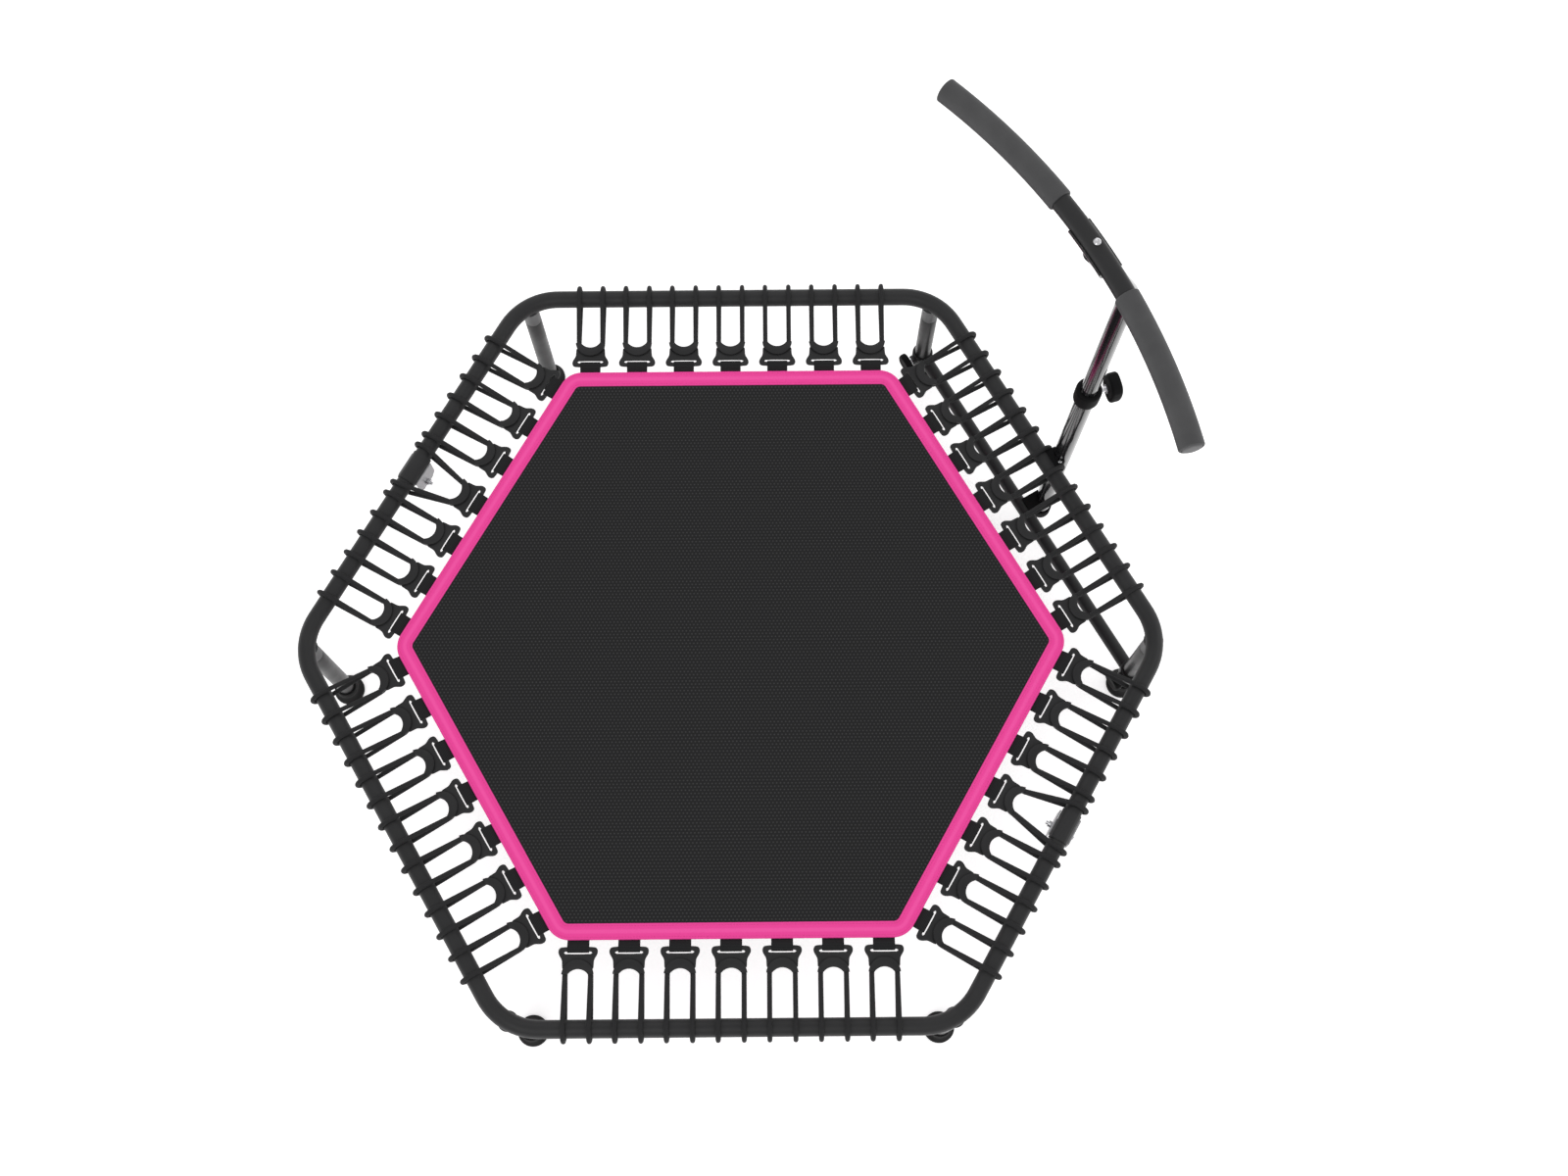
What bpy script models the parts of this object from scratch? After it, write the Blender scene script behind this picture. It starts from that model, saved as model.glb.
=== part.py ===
"""Hexagonal mini trampoline with a height-adjustable handlebar.

Metres, +Z up. The handlebar side of the hexagon faces +Y, and Z = 0 is the floor. Every piece is
placed under one empty at the hexagon's centre, so places below are measured from that centre.
The hexagon's corners lie at 0, 60, 120 ... degrees and its sides face 30, 90, 150 ... degrees.
"""
import bpy
import bmesh
from math import cos, sin, tan, radians, pi
from mathutils import Matrix, Vector

# ---------------------------------------------------------------- driving dimensions (metres)
CLEARANCE = 0.0003            # between pieces that touch

RAIL_APOTHEM = 0.5644         # hexagon centre to the rail's centreline, square to a side
RAIL_BEND = 0.091             # centreline radius of a corner bend
RAIL_RADIUS = 0.01325
RAIL_BORE = 0.0118
RAIL_HEIGHT = 0.2957          # centreline above the floor

STUB_RADIUS = 0.0131          # leg socket welded under each corner
STUB_BORE = 0.0099
STUB_DROP = 0.047             # its end below the rail's centreline

LEG_RADIUS = 0.01325
LEG_BORE = 0.0118
SPIGOT_LENGTH = 0.028
FOOT_RADIUS = 0.0245
FOOT_HEIGHT = 0.032
FOOT_SOLE = 0.0037            # rubber under the leg's end

SLEEVE_LENGTH = 0.048
SLEEVE_WALL = 0.0014
BRACKET_LENGTH = 0.040
BRACKET_WALL = 0.0020
BRACKET_DROP = 0.042
JOINT_BOLT_RADIUS = 0.0028
JOINT_BOLT_DROP = 0.034

CROSSBAR_HEIGHT = 0.090
CROSSBAR_RADIUS = 0.0108
CROSSBAR_BORE = 0.0094
CROSSBAR_COLLAR_WALL = 0.0035
CROSSBAR_COLLAR_LENGTH = 0.023
BOSS_RADIUS = 0.0080
BOSS_LENGTH = 0.004             # beyond the collar's outer face

POST_APOTHEM = 0.5930
POST_RADIUS = 0.0142
POST_BORE = 0.0128
POST_FOOT_HEIGHT = 0.042
POST_TOP = 0.560
CAP_RADIUS = 0.0165
CAP_DROP = 0.014
CAP_LENGTH = 0.026

COLLAR_RADIUS = 0.0190
COLLAR_LENGTH = 0.036
COLLAR_LIP = 0.006
KNOB_DIRECTION = 75.0         # degrees, seen from above
KNOB_TILT = 90.0              # turn of the height knob about its screw, long side upright
KNOB_REACH = 0.0300           # post axis to the knob's back
KNOB_SIZE = (0.0250, 0.0190, 0.0160)        # half length, half width, depth along the screw
BAR_KNOB_SIZE = (0.0165, 0.0155, 0.0110)
BAR_KNOB_GAP = 0.0050         # from the boss to the knob's back
KNOB_ROUNDING = 0.0022
SCREW_RADIUS = 0.0040
SCREW_IN_KNOB = 0.0070        # how far a clamp screw reaches into its knob
SCREW_FLANGE = 0.0030         # thickness of the flange behind the knob

CLAMP_SHORT = 0.0060          # a clamp block ends this far short of the post's axis
RAIL_CLAMP_HALF_WIDTH = 0.0146
RAIL_CLAMP_HALF_HEIGHT = 0.0125
BAR_CLAMP_HALF_WIDTH = 0.0142
BAR_CLAMP_HALF_HEIGHT = 0.0120
CLAMP_BOLT_PLACE = (0.0112, 0.0135)   # from the post's axis: along the side, and towards the mat
CLAMP_BOLT_RADIUS = 0.0016
CLAMP_BOLT_HEAD = 0.0028
CLAMP_BOLT_DEPTH = 0.010

UPPER_RADIUS = 0.0125
UPPER_BORE = 0.0112
UPPER_FOOT = 0.300
UPPER_BEND_START = 0.872
UPPER_BEND_RADIUS = 0.070

BAR_APOTHEM = 0.4993          # middle of the handlebar
BAR_HEIGHT = 1.1095
BAR_BOW_RADIUS = 0.8165
BAR_HALF_CHORD = 0.2560
BAR_RADIUS = 0.0122
BAR_BORE = 0.0108
GRIP_RADIUS = 0.0152
GRIP_INNER_END = 0.0676
SADDLE_LENGTH = 0.066
SADDLE_WALL = 0.0024
BAR_BOLT_RADIUS = 0.0030
BAR_BOLT_HEAD = 0.0046
BAR_BOLT_HEAD_HEIGHT = 0.0030

MAT_CORNER = 0.4792           # sharp corner of the jumping cloth from the centre
MAT_THICKNESS = 0.0020
BINDING_INNER = 0.4796
BINDING_OUTER = 0.5078
BINDING_THICKNESS = 0.0040
BINDING_INNER_ROUNDING = 0.009
BINDING_OUTER_ROUNDING = 0.036

HOOKS_PER_SIDE = 7
HOOK_PITCH = 0.0734
HOOK_THICKNESS = 0.0040
SLOT_LENGTH = 0.040
SLOT_WIDTH = 0.0038
SLOT_APOTHEM = 0.4574
TAB_WIDTH = 0.032
STRIP_APOTHEM = 0.4300

STRAND_OFFSET = 0.0185        # a cord strand's distance from its hook's middle
SPLAYED_OFFSET = 0.0350       # the same where the cord straddles a rail joint
CORD_RADIUS = 0.00325
CORD_INNER_END = 0.4875
WRAP_GAP = 0.00045            # between the rail and a cord round it
WRAP_THICKNESS = 0.0056

# ---------------------------------------------------------------- values worked out from them
SIDE_ANGLES = [90 + 60 * k for k in range(6)]       # side 1 carries the handlebar
CORNER_ANGLES = [60 + 60 * k for k in range(6)]     # leg k stands between sides k - 1 and k
JOINT_SIDES = (3, 6)                                # sides whose rail is in two pieces
CORNER_CENTRE = (RAIL_APOTHEM - RAIL_BEND) / cos(radians(30))
LEG_DISTANCE = CORNER_CENTRE + RAIL_BEND
STUB_END = RAIL_HEIGHT - STUB_DROP
LEG_X = LEG_DISTANCE * sin(radians(30))
LEG_Y = LEG_DISTANCE * cos(radians(30))
WRAP_INNER = RAIL_RADIUS + WRAP_GAP
WRAP_OUTER = WRAP_INNER + WRAP_THICKNESS
FRONT_Y = -(RAIL_APOTHEM + WRAP_OUTER)
BACK_Y = (POST_APOTHEM + (KNOB_REACH + KNOB_SIZE[2]) * sin(radians(KNOB_DIRECTION))
          + KNOB_SIZE[1] * cos(radians(KNOB_DIRECTION)))
CENTRE_Y = -(FRONT_Y + BACK_Y) / 2                  # puts the origin under the model's middle


# ---------------------------------------------------------------- scene and helpers
for old in list(bpy.data.objects):
    bpy.data.objects.remove(old, do_unlink=True)

parts = bpy.data.collections.new("mini_trampoline")
cutters = bpy.data.collections.new("cutters")
for collection in (parts, cutters):
    bpy.context.scene.collection.children.link(collection)

centre = bpy.data.objects.new("hexagon_centre", None)
centre.location = (0, CENTRE_Y, 0)
parts.objects.link(centre)


def finish(name, colour, roughness, metallic=0.0):
    """A Principled material with one colour, roughness and metallic value."""
    made = bpy.data.materials.get(name)
    if made is None:
        made = bpy.data.materials.new(name)
        made.use_nodes = True
        shader = made.node_tree.nodes["Principled BSDF"]
        shader.inputs["Base Color"].default_value = (*colour, 1)
        shader.inputs["Roughness"].default_value = roughness
        shader.inputs["Metallic"].default_value = metallic
    return made


FRAME_PAINT = ("frame_paint", (0.035, 0.035, 0.037), 0.45, 0.0)
LEG_STEEL = ("leg_steel", (0.16, 0.16, 0.165), 0.25, 0.6)
POST_GLOSS = ("post_gloss", (0.03, 0.03, 0.032), 0.12, 0.5)
CHROME = ("chrome", (0.75, 0.75, 0.77), 0.12, 1.0)
BLACK_PLASTIC = ("black_plastic", (0.022, 0.022, 0.024), 0.5, 0.0)
RUBBER = ("rubber", (0.018, 0.018, 0.018), 0.7, 0.0)
FOAM = ("foam", (0.06, 0.06, 0.062), 0.85, 0.0)
CLOTH = ("jump_cloth", (0.025, 0.025, 0.027), 0.85, 0.0)
BINDING = ("binding", (0.82, 0.07, 0.31), 0.7, 0.0)
CORD = ("elastic_cord", (0.03, 0.03, 0.032), 0.75, 0.0)


def put(obj, look=None, place=(0, 0, 0), turn=(0, 0, 0), collection=parts):
    """Link an object under the hexagon's centre, with its place, its turn and its finish."""
    collection.objects.link(obj)
    obj.parent = centre
    obj.location = place
    obj.rotation_euler = turn
    if look:
        obj.data.materials.append(finish(*look))
    if collection is cutters:
        obj.hide_render = True
        obj.display_type = "WIRE"
    return obj


def smooth(mesh):
    """Shade a mesh smooth and keep its edges over 35 degrees sharp."""
    mesh.shade_smooth()
    mesh.set_sharp_from_angle(angle=radians(35))


def mesh_from(name, build):
    """A mesh that the function build(bm) fills."""
    bm = bmesh.new()
    build(bm)
    mesh = bpy.data.meshes.new(name)
    bm.to_mesh(mesh)
    bm.free()
    smooth(mesh)
    return mesh


def add_cylinder(bm, start, end, radius, sides=16):
    """A closed cylinder between two points."""
    start, end = Vector(start), Vector(end)
    turn = (end - start).to_track_quat("Z", "Y").to_matrix().to_4x4()
    matrix = Matrix.Translation((start + end) / 2) @ turn
    bmesh.ops.create_cone(bm, cap_ends=True, segments=sides, radius1=radius, radius2=radius,
                          depth=(end - start).length, matrix=matrix)


def add_box(bm, low, high):
    """A closed box between two corners."""
    low, high = Vector(low), Vector(high)
    size = high - low
    matrix = Matrix.Translation((low + high) / 2) @ Matrix.Diagonal((*size, 1))
    bmesh.ops.create_cube(bm, size=1, matrix=matrix)


def round_cutter(name, start, end, radius, sides=16):
    """A round cutter between two points."""
    mesh = mesh_from(name, lambda bm: add_cylinder(bm, start, end, radius, sides))
    return put(bpy.data.objects.new(name, mesh), collection=cutters)


def turned(name, profile, look, place=(0, 0, 0), turn=(0, 0, 0), steps=20, closed=True):
    """A turned shape: (radius, height) points that run down the outer side, then up the inner."""
    mesh = bpy.data.meshes.new(name)
    count = len(profile)
    edges = [(k, (k + 1) % count) for k in range(count if closed else count - 1)]
    mesh.from_pydata([(r, 0, z) for r, z in profile], edges, [])
    obj = put(bpy.data.objects.new(name, mesh), look, place, turn)
    screw = obj.modifiers.new("turn", "SCREW")
    screw.axis = "Z"
    screw.steps = screw.render_steps = steps
    screw.use_merge_vertices = True
    screw.merge_threshold = 0.00005
    screw.use_smooth_shade = True
    return obj


def outline(name, loops, thickness, look, place=(0, 0, 0), turn=(0, 0, 0)):
    """A flat plate from a closed outline, with any further loops as its holes."""
    curve = bpy.data.curves.new(name, "CURVE")
    curve.dimensions = "2D"
    curve.fill_mode = "BOTH"
    curve.extrude = thickness / 2
    for loop in loops:
        spline = curve.splines.new("POLY")
        spline.points.add(len(loop) - 1)
        for point, (x, y) in zip(spline.points, loop):
            point.co = (x, y, 0, 1)
        spline.use_cyclic_u = True
    return put(bpy.data.objects.new(name, curve), look, place, turn)


def tube_curve(name, points, radius, sides, caps):
    """A curve object of a round tube through points."""
    curve = bpy.data.curves.new(name, "CURVE")
    curve.dimensions = "3D"
    curve.bevel_depth = radius
    curve.bevel_resolution = (sides - 4) // 2
    curve.use_fill_caps = caps
    curve.render_resolution_u = 0
    spline = curve.splines.new("POLY")
    spline.points.add(len(points) - 1)
    for point, co in zip(spline.points, points):
        point.co = (*co, 1)
    return bpy.data.objects.new(name, curve)


def as_mesh(obj):
    """Replace a curve object by its mesh, with the seams of its faces joined."""
    bpy.context.view_layer.update()
    depsgraph = bpy.context.evaluated_depsgraph_get()
    mesh = bpy.data.meshes.new_from_object(obj.evaluated_get(depsgraph))
    bm = bmesh.new()
    bm.from_mesh(mesh)
    bmesh.ops.remove_doubles(bm, verts=bm.verts, dist=0.00001)
    bm.to_mesh(mesh)
    bm.free()
    smooth(mesh)
    name, collection = obj.name, obj.users_collection[0]
    place, turn = obj.location.copy(), obj.rotation_euler.copy()
    bpy.data.objects.remove(obj, do_unlink=True)
    mesh.name = name
    return put(bpy.data.objects.new(name, mesh), None, place, turn, collection)


def solid_tube(name, points, radius, look=None, sides=16, collection=parts):
    """A filled round tube as a mesh, ready to be cut or joined."""
    return as_mesh(put(tube_curve(name, points, radius, sides, True), look, collection=collection))


def hollow_tube(name, points, outer, inner, look, sides=16):
    """A round tube that is open at both ends."""
    obj = as_mesh(put(tube_curve(name, points, outer, sides, False), look))
    wall = obj.modifiers.new("wall", "SOLIDIFY")
    wall.thickness = outer - inner
    wall.offset = -1
    wall.use_even_offset = True
    return obj


def boolean(obj, other, operation="DIFFERENCE"):
    """Cut another object out of this one, or join it to this one."""
    step = obj.modifiers.new(other.name, "BOOLEAN")
    step.operation = operation
    step.solver = "EXACT"
    step.object = other
    step.use_self = operation == "UNION"
    return obj


def joined_bodies(name, build, look, place=(0, 0, 0), turn=(0, 0, 0), core=None):
    """One closed body from overlapping closed shapes: core(bm) joined to all that build(bm) adds."""
    extra = put(bpy.data.objects.new(name + "_shapes", mesh_from(name + "_shapes", build)), None,
                place, turn, cutters)
    obj = put(bpy.data.objects.new(name, mesh_from(name, core)), look, place, turn)
    return boolean(obj, extra, "UNION")


def polar(radius, angle, height=0.0):
    """A point at a distance and an angle in degrees round the hexagon's centre."""
    return (radius * cos(radians(angle)), radius * sin(radians(angle)), height)


def rounded_hexagon(sharp_corner, rounding, steps=3):
    """The outline of a hexagon whose corners are arcs."""
    corner_centre = sharp_corner - rounding / cos(radians(30))
    points = []
    for angle in range(0, 360, 60):
        for step in range(steps + 1):
            direction = angle - 30 + 60 * step / steps
            x, y, _ = polar(corner_centre, angle)
            points.append((x + rounding * cos(radians(direction)), y + rounding * sin(radians(direction))))
    return points


# ---------------------------------------------------------------- the rail, in two halves
def rail_half_path():
    """Centreline from the joint at 30 degrees, round three corners, to the joint at 210 degrees."""
    half_gap = CLEARANCE / 2
    points = [(RAIL_APOTHEM * cos(radians(30)) - half_gap * sin(radians(30)),
               RAIL_APOTHEM * sin(radians(30)) + half_gap * cos(radians(30)), RAIL_HEIGHT)]
    for corner in (60, 120, 180):
        x, y, _ = polar(CORNER_CENTRE, corner)
        for step in range(5):
            angle = corner - 30 + 15 * step
            points.append((x + RAIL_BEND * cos(radians(angle)), y + RAIL_BEND * sin(radians(angle)),
                           RAIL_HEIGHT))
    points.append((RAIL_APOTHEM * cos(radians(210)) + half_gap * sin(radians(210)),
                   RAIL_APOTHEM * sin(radians(210)) - half_gap * cos(radians(210)), RAIL_HEIGHT))
    return points


def make_rail_half(name, turn):
    """Half the rail: a bent tube with three leg sockets welded under its corners."""
    path = [Vector(p) for p in rail_half_path()]
    rail = solid_tube(name, path, RAIL_RADIUS, FRAME_PAINT, sides=12)
    overrun = 0.004
    bore_path = [path[0] + (path[0] - path[1]).normalized() * overrun, *path[1:-1],
                 path[-1] + (path[-1] - path[-2]).normalized() * overrun]
    bore = solid_tube(name + "_bore", bore_path, RAIL_BORE, sides=12, collection=cutters)

    def stubs(bm):
        for corner in (60, 120, 180):
            add_cylinder(bm, polar(LEG_DISTANCE, corner, STUB_END),
                         polar(LEG_DISTANCE, corner, RAIL_HEIGHT), STUB_RADIUS)

    def stub_bores(bm):
        for corner in (60, 120, 180):
            add_cylinder(bm, polar(LEG_DISTANCE, corner, STUB_END - overrun),
                         polar(LEG_DISTANCE, corner, RAIL_HEIGHT - 0.003), STUB_BORE)

    sockets = put(bpy.data.objects.new(name + "_sockets", mesh_from(name + "_sockets", stubs)),
                  collection=cutters)
    holes = put(bpy.data.objects.new(name + "_socket_bores", mesh_from(name + "_socket_bores", stub_bores)),
                collection=cutters)
    boolean(rail, sockets, "UNION")
    boolean(rail, bore)
    boolean(rail, holes)
    for obj in (rail, bore, sockets, holes):
        obj.rotation_euler = (0, 0, turn)
    rail.data.materials.clear()
    rail.data.materials.append(finish(*FRAME_PAINT))
    return rail


make_rail_half("rail_half_handle", 0)
make_rail_half("rail_half_far", pi)


def make_rail_joint(number, side):
    """A sleeve over the rail's joint, a channel bracket under it and the bolt through the bracket."""
    angle = SIDE_ANGLES[side - 1]
    spin = radians(angle - 90)                       # local X along the side, local Y outwards
    place = polar(RAIL_APOTHEM, angle, RAIL_HEIGHT)
    inner = RAIL_RADIUS + CLEARANCE
    outer = inner + SLEEVE_WALL
    half = SLEEVE_LENGTH / 2
    turned(f"joint_sleeve_{number}", [(outer, half), (outer, -half), (inner, -half), (inner, half)],
           FRAME_PAINT, place, (0, pi / 2, spin))

    gap = outer + CLEARANCE
    wide = gap + BRACKET_WALL
    top, bottom = -0.001, -BRACKET_DROP
    floor_top = bottom + BRACKET_WALL
    channel = [(-wide, bottom), (wide, bottom), (wide, top), (gap, top), (gap, floor_top),
               (-gap, floor_top), (-gap, top), (-wide, top)]
    bracket = as_mesh(outline(f"joint_bracket_{number}", [channel], BRACKET_LENGTH, LEG_STEEL, place,
                              (pi / 2, 0, spin + pi / 2)))
    bracket.data.materials.append(finish(*LEG_STEEL))
    # The channel's free corners are cut off, so that it narrows downwards.
    corner = BRACKET_LENGTH / 2

    def corners(bm):
        for end in (-1, 1):
            wedge = bmesh.ops.create_cube(bm, size=0.03)["verts"]
            bmesh.ops.rotate(bm, verts=wedge, matrix=Matrix.Rotation(radians(45), 3, "Y"))
            bmesh.ops.scale(bm, verts=wedge, vec=(1, 2, 1))
            bmesh.ops.translate(bm, verts=wedge, vec=(end * (corner + 0.0125), 0, bottom - 0.0005))

    trims_name = f"bracket_trims_{number}"
    trims = put(bpy.data.objects.new(trims_name, mesh_from(trims_name, corners)),
                None, place, (0, 0, spin), cutters)
    boolean(bracket, trims)
    hole = round_cutter(f"bracket_hole_{number}", (0, -0.03, -JOINT_BOLT_DROP),
                        (0, 0.03, -JOINT_BOLT_DROP), JOINT_BOLT_RADIUS + CLEARANCE, sides=12)
    hole.location, hole.rotation_euler = place, (0, 0, spin)
    boolean(bracket, hole)

    face = wide + CLEARANCE                          # head and nut bear on the channel's sides
    head, nut = JOINT_BOLT_RADIUS * 2, JOINT_BOLT_RADIUS * 1.9
    shank = JOINT_BOLT_RADIUS
    turned(f"joint_bolt_{number}",
           [(0, face + 0.0035), (head * 0.8, face + 0.0030), (head, face), (shank, face),
            (shank, -face), (nut, -face), (nut, -face - 0.0045), (shank, -face - 0.0045),
            (shank, -face - 0.0085), (0, -face - 0.0085)],
           CHROME, (place[0], place[1], place[2] - JOINT_BOLT_DROP), (-pi / 2, 0, spin), 12, False)


for number, side in enumerate(JOINT_SIDES, 1):
    make_rail_joint(number, side)


# ---------------------------------------------------------------- legs and feet
def make_leg_and_foot(number, angle):
    """A tube leg with a spigot in the rail's socket, and a bell-shaped rubber foot."""
    place = polar(LEG_DISTANCE, angle)
    shoulder = STUB_END - CLEARANCE
    spigot = STUB_BORE - CLEARANCE
    foot_seat = FOOT_SOLE + CLEARANCE
    turned(f"leg_{number}",
           [(0, shoulder + SPIGOT_LENGTH), (spigot - 0.001, shoulder + SPIGOT_LENGTH),
            (spigot, shoulder + SPIGOT_LENGTH - 0.001), (spigot, shoulder), (LEG_RADIUS, shoulder),
            (LEG_RADIUS, foot_seat), (LEG_BORE, foot_seat), (LEG_BORE, shoulder - 0.008),
            (0, shoulder - 0.008)],
           LEG_STEEL, place, steps=16, closed=False)
    cup = LEG_RADIUS + CLEARANCE
    turned(f"foot_{number}",
           [(cup, FOOT_HEIGHT), (cup + 0.0030, FOOT_HEIGHT), (cup + 0.0048, 0.014),
            (FOOT_RADIUS, 0.008), (FOOT_RADIUS, 0), (0, 0), (0, FOOT_SOLE), (cup, FOOT_SOLE)],
           RUBBER, place, steps=16)


for number, angle in enumerate(CORNER_ANGLES, 1):
    make_leg_and_foot(number, angle)


# ---------------------------------------------------------------- clamp knobs
def knob_mesh(name, half_long, half_wide, depth):
    """An oblong knob with soft edges: local +Z is out along its screw, and its long side is local X."""
    def squared(value):
        return abs(value) ** 0.7 * (1 if value > 0 else -1)

    angles = [2 * pi * (k + 0.5) / 20 for k in range(20)]
    shape = [(half_long * squared(cos(a)), half_wide * squared(sin(a))) for a in angles]

    def build(bm):
        face = bm.faces.new([bm.verts.new((x, y, 0)) for x, y in shape])
        moved = bmesh.ops.extrude_face_region(bm, geom=[face])["geom"]
        top = [v for v in moved if isinstance(v, bmesh.types.BMVert)]
        bmesh.ops.translate(bm, verts=top, vec=(0, 0, depth))
        rims = [e for e in bm.edges if abs(e.verts[0].co.z - e.verts[1].co.z) < depth / 2]
        bmesh.ops.bevel(bm, geom=rims, offset=KNOB_ROUNDING, segments=2, affect="EDGES")
        bmesh.ops.recalc_face_normals(bm, faces=bm.faces)

    mesh = mesh_from(name, build)
    mesh.materials.append(finish(*BLACK_PLASTIC))
    return mesh


KNOB_MESH = knob_mesh("clamp_knob", *KNOB_SIZE)
BAR_KNOB_MESH = knob_mesh("bar_clamp_knob", *BAR_KNOB_SIZE)


def make_clamp_screw(label, mesh, origin, direction, tip, knob_back, tilt=0.0):
    """A knob on its screw; tip and knob_back are distances from origin along direction."""
    out = Vector((cos(radians(direction)), sin(radians(direction)), 0))
    turn = out.to_track_quat("Z", "Y").to_matrix() @ Matrix.Rotation(radians(tilt), 3, "Z")
    euler = turn.to_euler()
    knob = put(bpy.data.objects.new(f"{label}_knob", mesh), None,
               Vector(origin) + out * knob_back, euler)
    socket = round_cutter(f"{label}_knob_socket", (0, 0, -0.01), (0, 0, SCREW_IN_KNOB + CLEARANCE),
                          SCREW_RADIUS + CLEARANCE, sides=12)
    socket.location, socket.rotation_euler = knob.location, euler
    boolean(knob, socket)
    length = knob_back - tip
    flange = SCREW_RADIUS * 1.75
    flange_back = length - CLEARANCE
    turned(f"{label}_screw",
           [(0, length + SCREW_IN_KNOB), (SCREW_RADIUS, length + SCREW_IN_KNOB),
            (SCREW_RADIUS, flange_back), (flange, flange_back), (flange, flange_back - SCREW_FLANGE),
            (SCREW_RADIUS, flange_back - SCREW_FLANGE), (SCREW_RADIUS, 0.001),
            (SCREW_RADIUS - 0.001, 0), (0, 0)],
           CHROME, Vector(origin) + out * tip, euler, 12, False)


# ---------------------------------------------------------------- crossbar between two legs
def make_crossbar():
    """A round bar that ends in a collar round each leg, with a threaded boss on its inner side."""
    collar = LEG_RADIUS + CLEARANCE + CROSSBAR_COLLAR_WALL
    half = CROSSBAR_COLLAR_LENGTH / 2
    boss_end = collar + BOSS_LENGTH

    def bar(bm):
        add_cylinder(bm, (-LEG_X, LEG_Y, CROSSBAR_HEIGHT), (LEG_X, LEG_Y, CROSSBAR_HEIGHT), CROSSBAR_RADIUS)

    def collars(bm):
        for side in (-1, 1):
            x = side * LEG_X
            add_cylinder(bm, (x, LEG_Y, CROSSBAR_HEIGHT - half), (x, LEG_Y, CROSSBAR_HEIGHT + half),
                         collar, 20)

    def bosses(bm):
        for side in (-1, 1):
            x = side * LEG_X
            add_cylinder(bm, (x, LEG_Y, CROSSBAR_HEIGHT), (x, LEG_Y - boss_end, CROSSBAR_HEIGHT), BOSS_RADIUS)

    def bores(bm):
        add_cylinder(bm, (-LEG_X, LEG_Y, CROSSBAR_HEIGHT), (LEG_X, LEG_Y, CROSSBAR_HEIGHT), CROSSBAR_BORE)

    def leg_bores(bm):
        for side in (-1, 1):
            x = side * LEG_X
            add_cylinder(bm, (x, LEG_Y, CROSSBAR_HEIGHT - 2 * half), (x, LEG_Y, CROSSBAR_HEIGHT + 2 * half),
                         LEG_RADIUS + CLEARANCE, 20)

    def screw_holes(bm):
        for side in (-1, 1):
            x = side * LEG_X
            add_cylinder(bm, (x, LEG_Y, CROSSBAR_HEIGHT), (x, LEG_Y - boss_end - 0.01, CROSSBAR_HEIGHT),
                         SCREW_RADIUS + CLEARANCE, 12)

    crossbar = put(bpy.data.objects.new("crossbar", mesh_from("crossbar", bar)), FRAME_PAINT)
    for label, build, operation in (("crossbar_collars", collars, "UNION"),
                                    ("crossbar_bosses", bosses, "UNION"),
                                    ("crossbar_bore", bores, "DIFFERENCE"),
                                    ("crossbar_leg_bores", leg_bores, "DIFFERENCE"),
                                    ("crossbar_screw_holes", screw_holes, "DIFFERENCE")):
        other = put(bpy.data.objects.new(label, mesh_from(label, build)), collection=cutters)
        boolean(crossbar, other, operation)

    for number, side in ((1, 1), (2, -1)):
        make_clamp_screw(f"crossbar_{number}", BAR_KNOB_MESH, (side * LEG_X, LEG_Y, CROSSBAR_HEIGHT),
                         -90, LEG_RADIUS + CLEARANCE, boss_end + BAR_KNOB_GAP)


make_crossbar()


# ---------------------------------------------------------------- handlebar post
def make_post():
    """The fixed lower tube, its end cap, and the collar and knob that clamp the upper tube."""
    half = COLLAR_LENGTH / 2
    seat = POST_TOP + CLEARANCE
    tube = turned("post_lower_tube",
                  [(POST_RADIUS, POST_TOP), (POST_RADIUS, POST_FOOT_HEIGHT),
                   (POST_BORE, POST_FOOT_HEIGHT), (POST_BORE, POST_TOP)],
                  POST_GLOSS, (0, POST_APOTHEM, 0))
    out = Vector(polar(1.0, KNOB_DIRECTION))
    knob_height = POST_TOP - half + COLLAR_LIP
    middle = Vector((0, POST_APOTHEM, knob_height))
    hole = round_cutter("height_screw_hole", middle, middle + out * 0.03, SCREW_RADIUS + CLEARANCE,
                        sides=12)
    boolean(tube, hole)

    grip = POST_RADIUS + CLEARANCE
    lip = UPPER_RADIUS + CLEARANCE
    top = seat + COLLAR_LIP
    bottom = top - COLLAR_LENGTH
    collar = turned("height_collar",
                    [(lip, top), (COLLAR_RADIUS - 0.003, top), (COLLAR_RADIUS, top - 0.003),
                     (COLLAR_RADIUS, bottom + 0.004), (COLLAR_RADIUS - 0.002, bottom), (grip, bottom),
                     (grip, seat), (lip, seat)],
                    BLACK_PLASTIC, (0, POST_APOTHEM, 0), steps=20)
    boolean(collar, hole)
    make_clamp_screw("height", KNOB_MESH, middle, KNOB_DIRECTION, UPPER_RADIUS + CLEARANCE, KNOB_REACH,
                     KNOB_TILT)

    cap_inner = POST_RADIUS + CLEARANCE
    low = POST_FOOT_HEIGHT - CAP_DROP
    turned("post_end_cap",
           [(cap_inner, low + CAP_LENGTH), (CAP_RADIUS - 0.0005, low + CAP_LENGTH), (CAP_RADIUS, low + 0.008),
            (CAP_RADIUS - 0.004, low), (0, low), (0, POST_FOOT_HEIGHT - CLEARANCE),
            (cap_inner, POST_FOOT_HEIGHT - CLEARANCE)],
           BLACK_PLASTIC, (0, POST_APOTHEM, 0))


make_post()


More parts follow.
